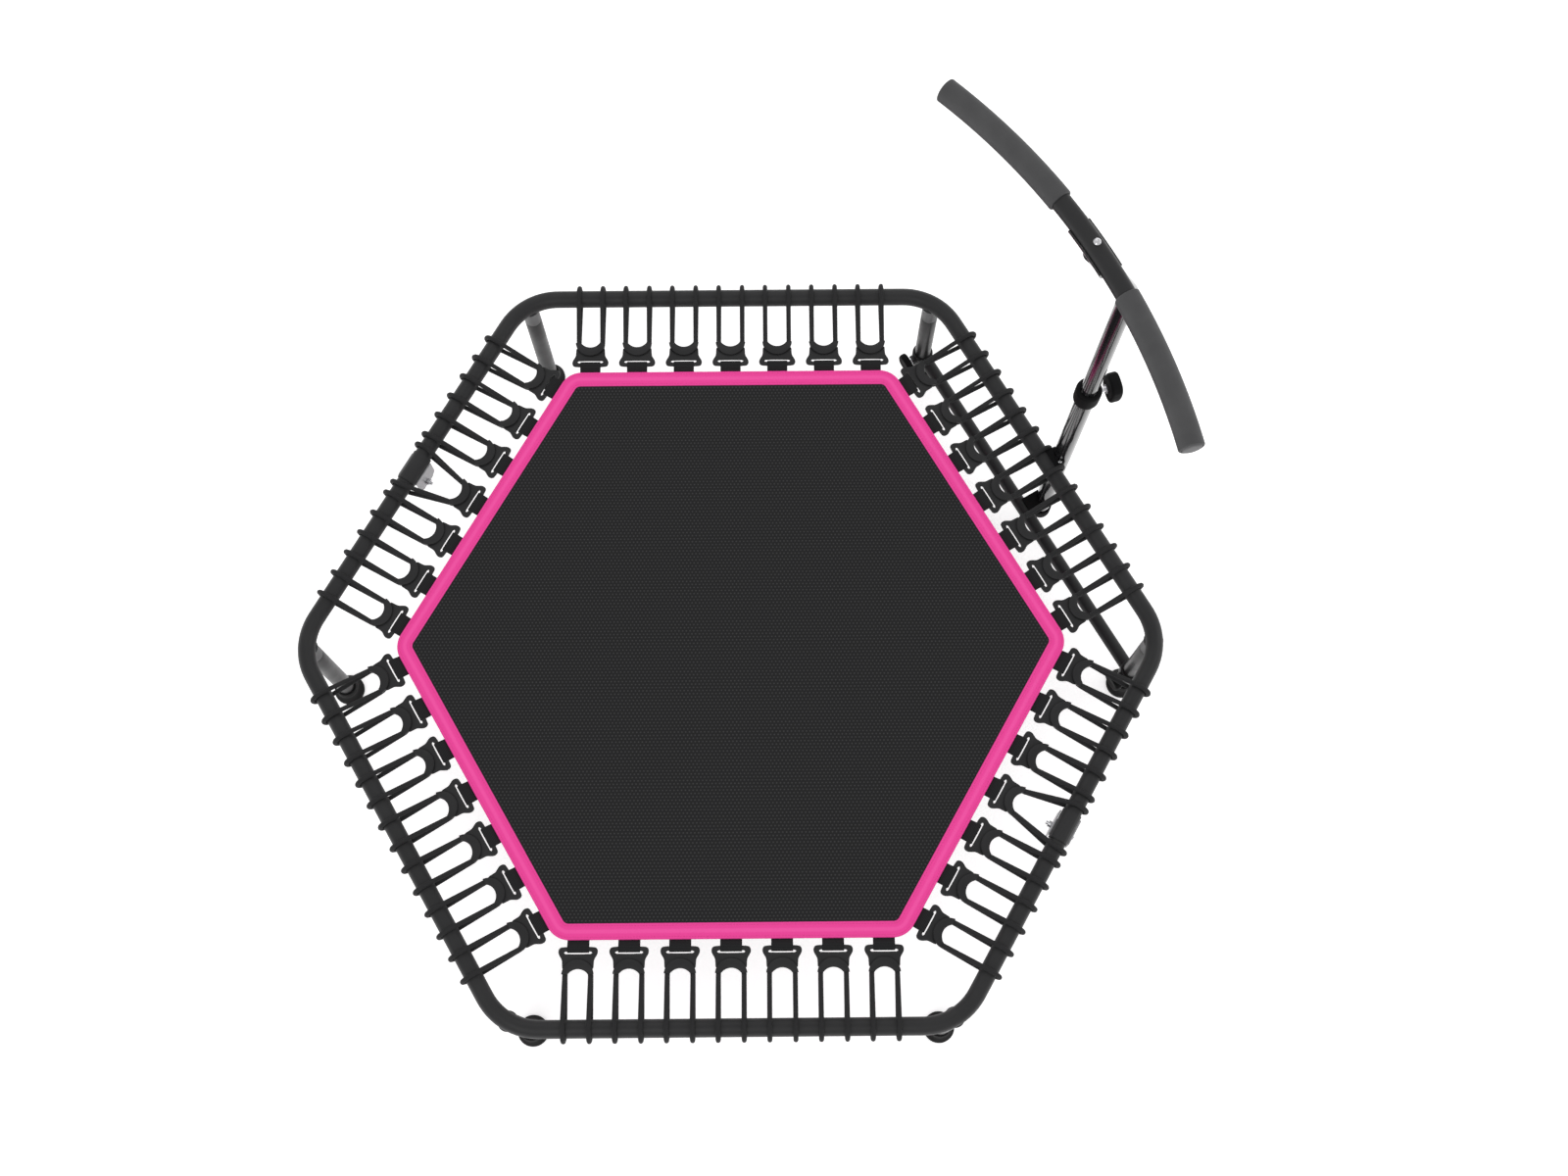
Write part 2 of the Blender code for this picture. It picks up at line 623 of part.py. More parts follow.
def make_post_clamp(label, bar_apothem, bar_radius, height, half_width, half_height):
    """A block between a bar and the post, hollowed to fit the bar and the inner side of the post."""

    def block(bm):
        add_box(bm, (-half_width, bar_apothem + bar_radius * 0.35, height - half_height),
                (half_width, POST_APOTHEM - CLAMP_SHORT, height + half_height))

    def post_hole(bm):
        add_cylinder(bm, (0, POST_APOTHEM, height - 2 * half_height),
                     (0, POST_APOTHEM, height + 2 * half_height), POST_RADIUS + CLEARANCE, 20)

    def bar_hole(bm):
        add_cylinder(bm, (-2 * half_width, bar_apothem, height), (2 * half_width, bar_apothem, height),
                     bar_radius + CLEARANCE, 20)

    clamp = put(bpy.data.objects.new(f"{label}_clamp", mesh_from(f"{label}_clamp", block)), BLACK_PLASTIC)
    for suffix, build in (("post_hole", post_hole), ("bar_hole", bar_hole)):
        name = f"{label}_clamp_{suffix}"
        boolean(clamp, put(bpy.data.objects.new(name, mesh_from(name, build)), collection=cutters))
    return clamp


def make_clamp_bolt(clamp):
    """The round-headed screw that goes down into the rail's clamp block, beside the post."""
    x, y = CLAMP_BOLT_PLACE[0], POST_APOTHEM - CLAMP_BOLT_PLACE[1]
    top = RAIL_HEIGHT + RAIL_CLAMP_HALF_HEIGHT
    low = top - CLAMP_BOLT_DEPTH
    hole = round_cutter("rail_bolt_hole", (x, y, low - 0.0005), (x, y, top + 0.01),
                        CLAMP_BOLT_RADIUS + CLEARANCE, sides=10)
    boolean(clamp, hole)
    base = top + CLEARANCE
    head = CLAMP_BOLT_HEAD
    turned("rail_bolt",
           [(0, base + head * 0.9), (head * 0.65, base + head * 0.85), (head, base + head * 0.5),
            (head, base), (CLAMP_BOLT_RADIUS, base), (CLAMP_BOLT_RADIUS, low), (0, low)],
           CHROME, (x, y, 0), steps=12, closed=False)


make_clamp_bolt(make_post_clamp("rail", RAIL_APOTHEM, RAIL_RADIUS, RAIL_HEIGHT,
                                RAIL_CLAMP_HALF_WIDTH, RAIL_CLAMP_HALF_HEIGHT))
make_post_clamp("crossbar", LEG_Y, CROSSBAR_RADIUS, CROSSBAR_HEIGHT,
                BAR_CLAMP_HALF_WIDTH, BAR_CLAMP_HALF_HEIGHT)


# ---------------------------------------------------------------- upper tube and handlebar
def upper_tube_path():
    """Straight up the post, round one bend towards the mat, and straight on to the saddle."""
    saddle_under = BAR_HEIGHT - BAR_RADIUS - SADDLE_WALL
    reach = POST_APOTHEM - BAR_APOTHEM
    rise = saddle_under - UPPER_BEND_START
    lean = radians(30)
    for _ in range(40):                              # the lean that brings the tube under the bar
        bend_in = UPPER_BEND_RADIUS * (1 - cos(lean))
        bend_up = UPPER_BEND_RADIUS * sin(lean)
        lean += 0.5 * ((reach - bend_in) / (rise - bend_up) - tan(lean)) * cos(lean) ** 2
    points = [(0, POST_APOTHEM, UPPER_FOOT), (0, POST_APOTHEM, UPPER_BEND_START)]
    for step in range(1, 5):
        a = lean * step / 4
        points.append((0, POST_APOTHEM - UPPER_BEND_RADIUS * (1 - cos(a)),
                       UPPER_BEND_START + UPPER_BEND_RADIUS * sin(a)))
    end = (0, BAR_APOTHEM, saddle_under - 0.0012)
    points.append(end)
    return points


def bar_point(x):
    """The point of the bar's bow at a distance x along its chord."""
    y = BAR_APOTHEM - BAR_BOW_RADIUS + (BAR_BOW_RADIUS ** 2 - x ** 2) ** 0.5
    return (x, y, BAR_HEIGHT)


def grip_stations():
    """Distances along the chord, from a grip's inner end to the bar's end."""
    return [GRIP_INNER_END + (BAR_HALF_CHORD - GRIP_INNER_END) * k / 4 for k in range(5)]


def make_handlebar():
    """The bent upper tube, the saddle welded to its top, the bowed bar, its bolt, grips and caps."""
    path = upper_tube_path()
    hollow_tube("post_upper_tube", path, UPPER_RADIUS, UPPER_BORE, POST_GLOSS)

    inner = BAR_RADIUS + CLEARANCE
    outer = inner + SADDLE_WALL
    arc = [radians(180 + 180 * k / 8) for k in range(9)]
    trough = [(outer * cos(a), outer * sin(a)) for a in arc]
    trough += [(inner * cos(a), inner * sin(a)) for a in reversed(arc)]
    saddle = as_mesh(outline("handlebar_saddle", [trough], SADDLE_LENGTH, BLACK_PLASTIC,
                             (0, BAR_APOTHEM, BAR_HEIGHT), (pi / 2, 0, pi / 2)))
    saddle.data.materials.append(finish(*POST_GLOSS))
    # The bar bows by a hair within the saddle's length, so the trough is cut to the bar's own bow.
    stations = grip_stations()
    bar_path = [bar_point(x) for x in [*[-x for x in reversed(stations)], 0, *stations]]
    bow = solid_tube("saddle_bow", bar_path, inner, collection=cutters)
    boolean(saddle, bow)
    start, end = Vector(path[-2]), Vector(path[-1])
    room_end = end + (end - start).normalized() * CLEARANCE
    tube_top = round_cutter("saddle_tube_room", start, room_end, UPPER_RADIUS + CLEARANCE)
    boolean(saddle, tube_top)

    bar = hollow_tube("handlebar", bar_path, BAR_RADIUS, BAR_BORE, POST_GLOSS, sides=12)
    hole = round_cutter("handlebar_bolt_hole", (0, BAR_APOTHEM, BAR_HEIGHT - 0.03),
                        (0, BAR_APOTHEM, BAR_HEIGHT + 0.03), BAR_BOLT_RADIUS + CLEARANCE, sides=12)
    boolean(bar, hole)
    top = BAR_RADIUS + CLEARANCE
    turned("handlebar_bolt",
           [(0, top + BAR_BOLT_HEAD_HEIGHT), (BAR_BOLT_HEAD * 0.65, top + BAR_BOLT_HEAD_HEIGHT * 0.9),
            (BAR_BOLT_HEAD, top + BAR_BOLT_HEAD_HEIGHT * 0.4), (BAR_BOLT_HEAD, top),
            (BAR_BOLT_RADIUS, top), (BAR_BOLT_RADIUS, -BAR_RADIUS + 0.0005), (0, -BAR_RADIUS + 0.0005)],
           CHROME, (0, BAR_APOTHEM, BAR_HEIGHT), steps=16, closed=False)

    foam_inner = BAR_RADIUS + CLEARANCE
    for label, side in (("right", 1), ("left", -1)):
        grip_path = [bar_point(side * x) for x in stations]
        hollow_tube(f"grip_{label}", grip_path if side > 0 else grip_path[::-1], GRIP_RADIUS, foam_inner,
                    FOAM, sides=12)
        tip = Vector(grip_path[-1])
        along = tip - Vector(grip_path[-2])
        plug = BAR_BORE - 0.0008
        turned(f"handlebar_end_cap_{label}",
               [(0, 0.0028), (0.0095, 0.0024), (BAR_RADIUS, 0.0008), (BAR_RADIUS, CLEARANCE),
                (plug, CLEARANCE), (plug, -0.0100), (0, -0.0100)],
               RUBBER, tip, along.to_track_quat("Z", "Y").to_euler(), 16, False)


make_handlebar()


# ---------------------------------------------------------------- mat, binding and hooks
outline("jump_mat", [rounded_hexagon(MAT_CORNER, BINDING_INNER_ROUNDING)], MAT_THICKNESS, CLOTH,
        (0, 0, RAIL_HEIGHT))
outline("edge_binding", [rounded_hexagon(BINDING_OUTER, BINDING_OUTER_ROUNDING, 4),
                         rounded_hexagon(BINDING_INNER, BINDING_INNER_ROUNDING)],
        BINDING_THICKNESS, BINDING, (0, 0, RAIL_HEIGHT))


def hook_centres():
    """Places of the hooks along one side, measured from the side's middle."""
    return [HOOK_PITCH * (k - (HOOKS_PER_SIDE - 1) / 2) for k in range(HOOKS_PER_SIDE)]


def make_hook_row(number, angle):
    """Seven flat hooks on webbing tabs, joined by the strip that is sewn under the mat's edge."""
    spin = radians(angle - 90)
    half_slot = SLOT_LENGTH / 2
    ears = [(0.0240, 0.4490), (0.0275, 0.4530), (0.0275, 0.4650), (0.0170, 0.4760), (0.0120, 0.4860)]
    shape = [*ears, *[(-x, y) for x, y in reversed(ears)]]
    hole = [(-half_slot, SLOT_APOTHEM - SLOT_WIDTH / 2), (half_slot, SLOT_APOTHEM - SLOT_WIDTH / 2),
            (half_slot, SLOT_APOTHEM + SLOT_WIDTH / 2), (-half_slot, SLOT_APOTHEM + SLOT_WIDTH / 2)]
    loops = []
    for x in hook_centres():
        loops += [[(x + u, v) for u, v in shape], [(x + u, v) for u, v in hole]]
    hook_height = RAIL_HEIGHT - 0.0010
    row = as_mesh(outline(f"hook_row_{number}", loops, HOOK_THICKNESS, BLACK_PLASTIC, (0, 0, hook_height),
                          (0, 0, spin)))
    row.data.materials.append(finish(*BLACK_PLASTIC))
    under = -HOOK_THICKNESS / 2

    def webbing(bm):
        for x in hook_centres():
            add_box(bm, (x - TAB_WIDTH / 2, STRIP_APOTHEM - 0.004, under - 0.0015),
                    (x + TAB_WIDTH / 2, SLOT_APOTHEM - 0.003, under + 0.0004))

    def strip(bm):
        reach = HOOK_PITCH * (HOOKS_PER_SIDE - 1) / 2 + TAB_WIDTH / 2 - 0.004
        add_box(bm, (-reach, STRIP_APOTHEM - 0.006, under - 0.0012),
                (reach, STRIP_APOTHEM + 0.006, under - 0.0002))

    for label, build in (("tabs", webbing), ("strip", strip)):
        name = f"hook_row_{number}_{label}"
        other = put(bpy.data.objects.new(name, mesh_from(name, build)), None, (0, 0, hook_height),
                    (0, 0, spin), cutters)
        boolean(row, other, "UNION")


def wrap_profile():
    """Side view of a cord round the rail, as an outer and an inner loop of (outward, up) points."""
    bend = [radians(90 - 45 * k) for k in range(5)]
    outer = [(CORD_INNER_END, 0.0045)]
    outer += [(RAIL_APOTHEM + WRAP_OUTER * cos(a), WRAP_OUTER * sin(a)) for a in bend]
    outer += [(CORD_INNER_END, -0.0085)]
    grow = WRAP_INNER / cos(radians(22.5))
    inner = [(CORD_INNER_END + 0.012, -0.002)]
    inner += [(RAIL_APOTHEM + grow * cos(a), grow * sin(a)) for a in bend]
    return outer, inner


def make_elastic_row(number, angle):
    """Seven cord loops from the hooks round the rail, joined by a thin strip at their inner ends."""
    spin = radians(angle - 90)
    outer, inner = wrap_profile()
    edge = STRAND_OFFSET + CORD_RADIUS
    spans = []
    for x in hook_centres():
        if abs(x) > CLEARANCE:
            spans.append((x - edge, x + edge))
            continue
        offset = SPLAYED_OFFSET if number in JOINT_SIDES else STRAND_OFFSET
        for side in (-1, 1):
            spans.append((side * offset - CORD_RADIUS * 0.95, side * offset + CORD_RADIUS * 0.95))

    def loops(bm):
        for low, high in spans:
            near_outer = [bm.verts.new((low, y, z)) for y, z in outer]
            near_inner = [bm.verts.new((low, y, z)) for y, z in inner]
            far_outer = [bm.verts.new((high, y, z)) for y, z in outer]
            far_inner = [bm.verts.new((high, y, z)) for y, z in inner]
            for near, far in ((near_outer, far_outer), (near_inner, far_inner)):
                for k in range(len(near)):
                    m = (k + 1) % len(near)
                    bm.faces.new((near[k], near[m], far[m], far[k]))
            for o, i in ((near_outer, near_inner), (far_outer, far_inner)):
                for k in range(1, len(o) - 2):
                    bm.faces.new((o[k], o[k + 1], i[k + 1], i[k]))
                bm.faces.new((o[0], o[1], i[1], i[0]))
                bm.faces.new((o[-1], o[0], i[0]))
                bm.faces.new((o[-2], o[-1], i[0], i[-1]))
        bmesh.ops.recalc_face_normals(bm, faces=bm.faces)

    def strip(bm):
        reach = HOOK_PITCH * (HOOKS_PER_SIDE - 1) / 2
        add_box(bm, (-reach, CORD_INNER_END + 0.001, -0.0040), (reach, CORD_INNER_END + 0.005, -0.0015))

    joined_bodies(f"elastic_row_{number}", loops, CORD, (0, 0, RAIL_HEIGHT), (0, 0, spin), strip)


for number, angle in enumerate(SIDE_ANGLES, 1):
    make_hook_row(number, angle)
    make_elastic_row(number, angle)
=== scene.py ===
# %% [markdown]
# A hexagonal mini trampoline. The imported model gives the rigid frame, its bodies and its joints. This
# lesson builds the finished surfaces round it: smooth tubes, moulded hooks, elastic cords, a woven mat
# with a sewn edge, and a foam-gripped handlebar. Each one rides on the body that carries it, so that
# the mat can sink and the handlebar can slide.

# %% Load the frame
import math

import bpy
import numpy as np
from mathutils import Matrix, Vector


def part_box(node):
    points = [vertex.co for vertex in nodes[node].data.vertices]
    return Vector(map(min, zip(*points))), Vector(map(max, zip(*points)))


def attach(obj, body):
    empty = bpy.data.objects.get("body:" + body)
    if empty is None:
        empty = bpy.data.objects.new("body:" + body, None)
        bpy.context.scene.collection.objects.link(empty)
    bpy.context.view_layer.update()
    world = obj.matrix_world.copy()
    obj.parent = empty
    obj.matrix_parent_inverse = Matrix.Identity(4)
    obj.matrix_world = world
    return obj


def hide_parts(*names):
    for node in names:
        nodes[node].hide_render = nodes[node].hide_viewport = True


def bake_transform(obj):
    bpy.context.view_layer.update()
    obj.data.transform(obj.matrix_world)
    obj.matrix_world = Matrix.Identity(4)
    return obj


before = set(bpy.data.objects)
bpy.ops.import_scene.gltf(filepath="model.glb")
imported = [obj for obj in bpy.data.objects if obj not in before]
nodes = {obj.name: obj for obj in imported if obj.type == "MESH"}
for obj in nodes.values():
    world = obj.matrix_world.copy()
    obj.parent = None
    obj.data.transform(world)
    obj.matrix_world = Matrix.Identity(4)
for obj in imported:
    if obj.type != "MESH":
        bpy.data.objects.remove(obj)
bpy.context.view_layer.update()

# %% [markdown]
# Everything is laid out round the hexagon's centre, so the few sizes that repeat are named here once,
# in metres. A side is worked out lying along X with Y pointing outwards, and then turned into place.

# %% Sizes and places
CENTRE_Y = -0.029325
RAIL_APOTHEM, RAIL_BEND, RAIL_RADIUS, RAIL_Z = 0.5644, 0.091, 0.01325, 0.2957
LEG_DISTANCE = (RAIL_APOTHEM - RAIL_BEND) / math.cos(math.radians(30)) + RAIL_BEND
LEG_RADIUS = 0.01325
SOCKET_END = 0.2487
POST_APOTHEM = 0.5930
POST_Y = POST_APOTHEM + CENTRE_Y
SIDES = range(1, 7)
JOINT_SIDES = (3, 6)
HOOKS = 7
HOOK_PITCH = 0.0734
UP = np.array([0.0, 0.0, 1.0])


def side_angle(number):
    """The turn in radians that brings local Y to the outward direction of a side."""
    return math.radians(60 * (number - 1))


def to_side(points, number):
    """Turn points from a side's own frame into the row frame: a turn about Z, then the centre's shift."""
    a = side_angle(number)
    turn = np.array([[math.cos(a), math.sin(a), 0], [-math.sin(a), math.cos(a), 0], [0, 0, 1]])
    return points @ turn + np.array([0, CENTRE_Y, 0])


print("leg distance from the centre", round(LEG_DISTANCE, 4))

# %% [markdown]
# Every surface here is a grid: rows that follow one parameter and columns that run round a section. A
# grid of quads could be left open at its ends, but a shell with a hole can't be measured or printed.
# So the same helper closes each one. An end that shrinks to a point gets a pole, and a flat end is
# zipped: the two halves of its ring are joined by quads, which also suits a C-shaped section.


# %% Closing a grid
POLE = 0.0003


def side_quads(rows, columns, wrap_rows):
    """Rows and columns of each quad's corners, counted on past the seam so that a UV map can use them."""
    i, j = np.meshgrid(np.arange(rows if wrap_rows else rows - 1), np.arange(columns), indexing="ij")
    i, j = i.ravel(), j.ravel()
    return np.stack([i, i, i + 1, i + 1], 1), np.stack([j, j + 1, j + 1, j], 1)


def end_cap(ring, pole):
    """Triangles from a ring to its pole, or quads that zip one half of the ring to the other."""
    n = len(ring)
    if pole is not None:
        return np.stack([ring, np.roll(ring, -1), np.full(n, pole)], 1)
    j = np.arange(n // 2 - 1)
    return np.stack([ring[j], ring[j + 1], ring[n - 2 - j], ring[n - 1 - j]], 1)


def signed_volume(points, faces):
    """Six times the volume under the faces: the sum of a . (b x c) over the triangles they fan into."""
    p = points - points.mean(0)
    return sum(float((p[faces[:, 0]] * np.cross(p[faces[:, k]], p[faces[:, k + 1]])).sum())
               for k in range(1, faces.shape[1] - 1))


def shell(grid, wrap_rows):
    """One closed shell: its points, and its faces with a UV for each corner, turned to look outwards."""
    tiny = [not wrap_rows and np.ptp(grid[k], axis=0).max() < POLE for k in (0, -1)]
    core = grid[int(tiny[0]):len(grid) - int(tiny[1])]
    rows, columns, _ = core.shape
    middle = core.mean(1)
    step = np.linalg.norm(np.diff(middle, axis=0, append=middle[:1]), axis=1)
    run = np.concatenate([[0], np.cumsum(step)])
    points = core.reshape(-1, 3)
    i, j = side_quads(rows, columns, wrap_rows)
    parts = [((i % rows) * columns + j % columns, np.stack([run[i], j / columns], -1))]
    if not wrap_rows:
        for k, ring in enumerate((np.arange(columns)[::-1], (rows - 1) * columns + np.arange(columns))):
            cap = end_cap(ring, len(points) if tiny[k] else None)
            if tiny[k]:
                points = np.concatenate([points, grid[-k].mean(0)[None]])
            share = (cap % columns) / columns
            parts.append((cap, np.stack([np.full(cap.shape, run[k * (rows - 1)]), share], -1)))
    if sum(signed_volume(points, faces) for faces, _ in parts) < 0:
        parts = [(faces[:, ::-1], uv[:, ::-1]) for faces, uv in parts]
    return points, parts


print("a shell is closed at a pole narrower than", POLE, "m, and zipped elsewhere")


# %% [markdown]
# A piece is then a mesh made of one or more such shells, with a UV map and one finish. It is carried by
# a body of the frame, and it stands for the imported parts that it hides.


# %% From grids to pieces
def build(name, grids, material, wrap_rows=False, sharp=40):
    """One object from a list of grids of shape (rows, columns, 3), each a closed shell of its own.

    The UV map runs along the rows by distance in metres and round the columns by share of a turn."""
    points, faces, corners, at = [], [], [], 0
    for grid in grids:
        p, parts = shell(grid, wrap_rows)
        for part, uv in parts:
            faces += (part + at).tolist()
            corners.append(uv.reshape(-1, 2))
        points.append(p)
        at += len(p)
    mesh = bpy.data.meshes.new(name)
    mesh.from_pydata(np.concatenate(points), [], faces)
    layer = mesh.uv_layers.new(name="along")
    layer.data.foreach_set("uv", np.concatenate(corners).astype(np.float32).ravel())
    mesh.shade_smooth()
    mesh.set_sharp_from_angle(angle=math.radians(sharp))
    obj = bpy.data.objects.new(name, mesh)
    bpy.context.scene.collection.objects.link(obj)
    mesh.materials.append(material)
    return obj


def carried(obj, body, slot, *replaced):
    """Let a piece ride on its body and hide the CAD nodes it stands for. The slot argument is not used."""
    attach(obj, body)
    if replaced:
        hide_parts(*replaced)
    return obj


# %% [markdown]
# A tube is a circle carried along a path. The circle has to stay square to the path without twisting,
# so its first direction is carried from each station to the next and kept at right angles to the way
# the path runs. A list of radii along the path also gives closed, rounded ends: the radius starts at
# nothing and grows along a quarter circle.


# %% Tubes
def resample(path, count):
    """Points at equal distances along a path."""
    path = np.asarray(path, float)
    s = np.concatenate([[0], np.cumsum(np.linalg.norm(np.diff(path, axis=0), axis=1))])
    at = np.linspace(0, s[-1], count)
    return np.stack([np.interp(at, s, path[:, k]) for k in range(3)], 1)


def frames(path, closed=False):
    """Directions square to a path. The first is carried along by taking out its part along the path."""
    if closed:
        ahead = np.roll(path, -1, 0) - np.roll(path, 1, 0)
    else:
        ahead = np.gradient(path, axis=0)
    ahead /= np.linalg.norm(ahead, axis=1)[:, None]
    first = np.cross(ahead[0], UP if abs(ahead[0][2]) < 0.9 else np.array([1.0, 0, 0]))
    normals = [first / np.linalg.norm(first)]
    for t in ahead[1:]:
        n = normals[-1] - t * (normals[-1] @ t)
        normals.append(n / np.linalg.norm(n))
    normals = np.array(normals)
    if closed:
        last = normals[-1] - ahead[0] * (normals[-1] @ ahead[0])
        twist = math.atan2(np.cross(last, normals[0]) @ ahead[0], last @ normals[0])
        share = np.linspace(0, twist, len(path))[:, None]
        normals = normals * np.cos(share) + np.cross(ahead, normals) * np.sin(share)
    return normals, np.cross(ahead, normals)


def tube(path, radius, sides=32, closed=False):
    """Circle carried along a path: point + radius * (cos a * normal + sin a * second normal)."""
    path = np.asarray(path, float)
    normal, second = frames(path, closed)
    a = -np.linspace(0, 2 * math.pi, sides, endpoint=False)
    ring = normal[:, None] * np.cos(a)[None, :, None] + second[:, None] * np.sin(a)[None, :, None]
    return path[:, None] + np.broadcast_to(radius, len(path))[:, None, None] * ring


def capped(path, radius, rounding, inner=0.0, sides=32):
    """A tube whose ends turn in along a quarter circle of the given rounding, down to an inner radius."""
    path = np.asarray(path, float)
    s = np.concatenate([[0], np.cumsum(np.linalg.norm(np.diff(path, axis=0), axis=1))])
    a = np.linspace(0, math.pi / 2, 6)
    lead = np.concatenate([[0.0], rounding * (1 - np.cos(a))])
    lead_r = np.concatenate([[inner], radius - rounding + rounding * np.sin(a)])
    middle = s[(s > rounding * 1.2) & (s < s[-1] - rounding * 1.2)]
    at = np.concatenate([lead, middle, s[-1] - lead[::-1]])
    radii = np.concatenate([lead_r, np.full(len(middle), radius), lead_r[::-1]])
    stations = np.stack([np.interp(at, s, path[:, k]) for k in range(3)], 1)
    fine_normal, fine_second = frames(path)
    normal = np.stack([np.interp(at, s, fine_normal[:, k]) for k in range(3)], 1)
    second = np.stack([np.interp(at, s, fine_second[:, k]) for k in range(3)], 1)
    ring = -np.linspace(0, 2 * math.pi, sides, endpoint=False)
    spokes = normal[:, None] * np.cos(ring)[None, :, None] + second[:, None] * np.sin(ring)[None, :, None]
    return stations[:, None] + radii[:, None, None] * spokes


def turned(profile, place, sides=40):
    """A profile of (radius, height) turned about a vertical line through a place."""
    r, z = np.array(profile, float).T
    a = -np.linspace(0, 2 * math.pi, sides, endpoint=False)
    x = r[:, None] * np.cos(a) + place[0]
    y = r[:, None] * np.sin(a) + place[1]
    return np.stack([x, y, np.broadcast_to(z[:, None], x.shape) + place[2]], -1)


print("helpers ready")

# %% [markdown]
# Materials come before shapes, because each piece is given its finish as it is made. One helper sets
# the plain numbers on the shader itself. The others add what the eye looks for up close: the fine
# grain of powder coat, the pores of foam, the ribs of webbing.


# %% A helper for finishes
def finish(name, colour, roughness, metallic=0.0, coat=0.0, sheen=0.0, gloss=0.2):
    """A material with its constant values on the shader's own sockets. Returns it, its nodes, its shader."""
    made = bpy.data.materials.new(name)
    made.use_nodes = True
    shader = made.node_tree.nodes["Principled BSDF"]
    shader.inputs["Base Color"].default_value = (*colour, 1)
    shader.inputs["Roughness"].default_value = roughness
    shader.inputs["Metallic"].default_value = metallic
    shader.inputs["Specular IOR Level"].default_value = gloss
    shader.inputs["Coat Weight"].default_value = coat
    shader.inputs["Coat Roughness"].default_value = 0.08
    shader.inputs["Sheen Weight"].default_value = sheen
    return made, made.node_tree, shader


def add(tree, kind, **values):
    """A node of a kind, with its named inputs or properties set."""
    node = tree.nodes.new(kind)
    for key, value in values.items():
        if key in node.inputs:
            node.inputs[key].default_value = value
        else:
            setattr(node, key, value)
    return node


def place_in(tree, output="Object", scale=(1, 1, 1)):
    """Coordinates of the piece itself, stretched by a scale."""
    where = add(tree, "ShaderNodeTexCoord")
    mapping = add(tree, "ShaderNodeMapping")
    mapping.inputs["Scale"].default_value = scale
    tree.links.new(where.outputs[output], mapping.inputs["Vector"])
    return mapping.outputs["Vector"]


def noise(tree, vector, scale, detail=3.0):
    """Soft random values from 0 to 1 at a grain of 1 / scale metres."""
    node = add(tree, "ShaderNodeTexNoise", Scale=scale, Detail=detail)
    tree.links.new(vector, node.inputs["Vector"])
    return node.outputs["Fac"]


def between(tree, value, low, high, from_low=0.3, from_high=0.7):
    """A value stretched from one range onto another."""
    node = add(tree, "ShaderNodeMapRange")
    for key, number in zip(("From Min", "From Max", "To Min", "To Max"), (from_low, from_high, low, high)):
        node.inputs[key].default_value = number
    tree.links.new(value, node.inputs["Value"])
    return node.outputs["Result"]


def tint(tree, value, dark, light, shader):
    """Colour that runs from dark to light with a value."""
    ramp = add(tree, "ShaderNodeValToRGB")
    ramp.color_ramp.elements[0].color = (*dark, 1)
    ramp.color_ramp.elements[1].color = (*light, 1)
    tree.links.new(value, ramp.inputs["Fac"])
    tree.links.new(ramp.outputs["Color"], shader.inputs["Base Color"])
    return ramp


def bump(tree, height, shader, distance, strength=1.0):
    """Fine relief of a depth in metres."""
    node = add(tree, "ShaderNodeBump", Strength=strength, Distance=distance)
    tree.links.new(height, node.inputs["Height"])
    tree.links.new(node.outputs["Normal"], shader.inputs["Normal"])


def grained(name, dark, light, roughness, grain, depth, metallic=0.0, coat=0.0, gloss=0.2):
    """A finish with a soft change of tone over centimetres and a fine grain in its relief."""
    made, tree, shader = finish(name, light, roughness, metallic, coat, gloss=gloss)
    where = place_in(tree)
    tint(tree, between(tree, noise(tree, where, 14), 0, 1), dark, light, shader)
    rough = between(tree, noise(tree, where, 60), roughness - 0.05, roughness + 0.05)
    tree.links.new(rough, shader.inputs["Roughness"])
    bump(tree, noise(tree, where, grain, 2), shader, depth)
    return made


# %% [markdown]
# Painted, moulded and plated parts share one recipe. What sets them apart is tone, roughness and grain.

# %% Plain finishes
powder_coat = grained("powder_coat", (0.016, 0.016, 0.017), (0.021, 0.021, 0.022), 0.46, 1400, 0.00006,
                      gloss=0.3)
leg_enamel = grained("leg_enamel", (0.013, 0.013, 0.0135), (0.019, 0.019, 0.0195), 0.34, 500, 0.00001,
                     coat=0.05)
socket_grey = grained("socket_grey", (0.075, 0.075, 0.077), (0.10, 0.10, 0.102), 0.45, 700, 0.00003)
bracket_zinc = grained("bracket_zinc", (0.30, 0.30, 0.31), (0.40, 0.40, 0.41), 0.36, 700, 0.00002, 0.9)
bright_steel = grained("bright_steel", (0.62, 0.62, 0.64), (0.72, 0.72, 0.74), 0.20, 900, 0.00001, 1.0)
moulded_black = grained("moulded_black", (0.006, 0.006, 0.006), (0.009, 0.009, 0.010), 0.62, 2200, 0.00005,
                        gloss=0.06)
hook_nylon = grained("hook_nylon", (0.018, 0.018, 0.019), (0.025, 0.025, 0.026), 0.46, 1800, 0.00004)
foot_rubber = grained("foot_rubber", (0.009, 0.009, 0.009), (0.015, 0.015, 0.015), 0.72, 1500, 0.00008)
cap_grey = grained("cap_grey", (0.10, 0.10, 0.102), (0.13, 0.13, 0.133), 0.5, 1500, 0.00005)
print("plain finishes:", len(bpy.data.materials))
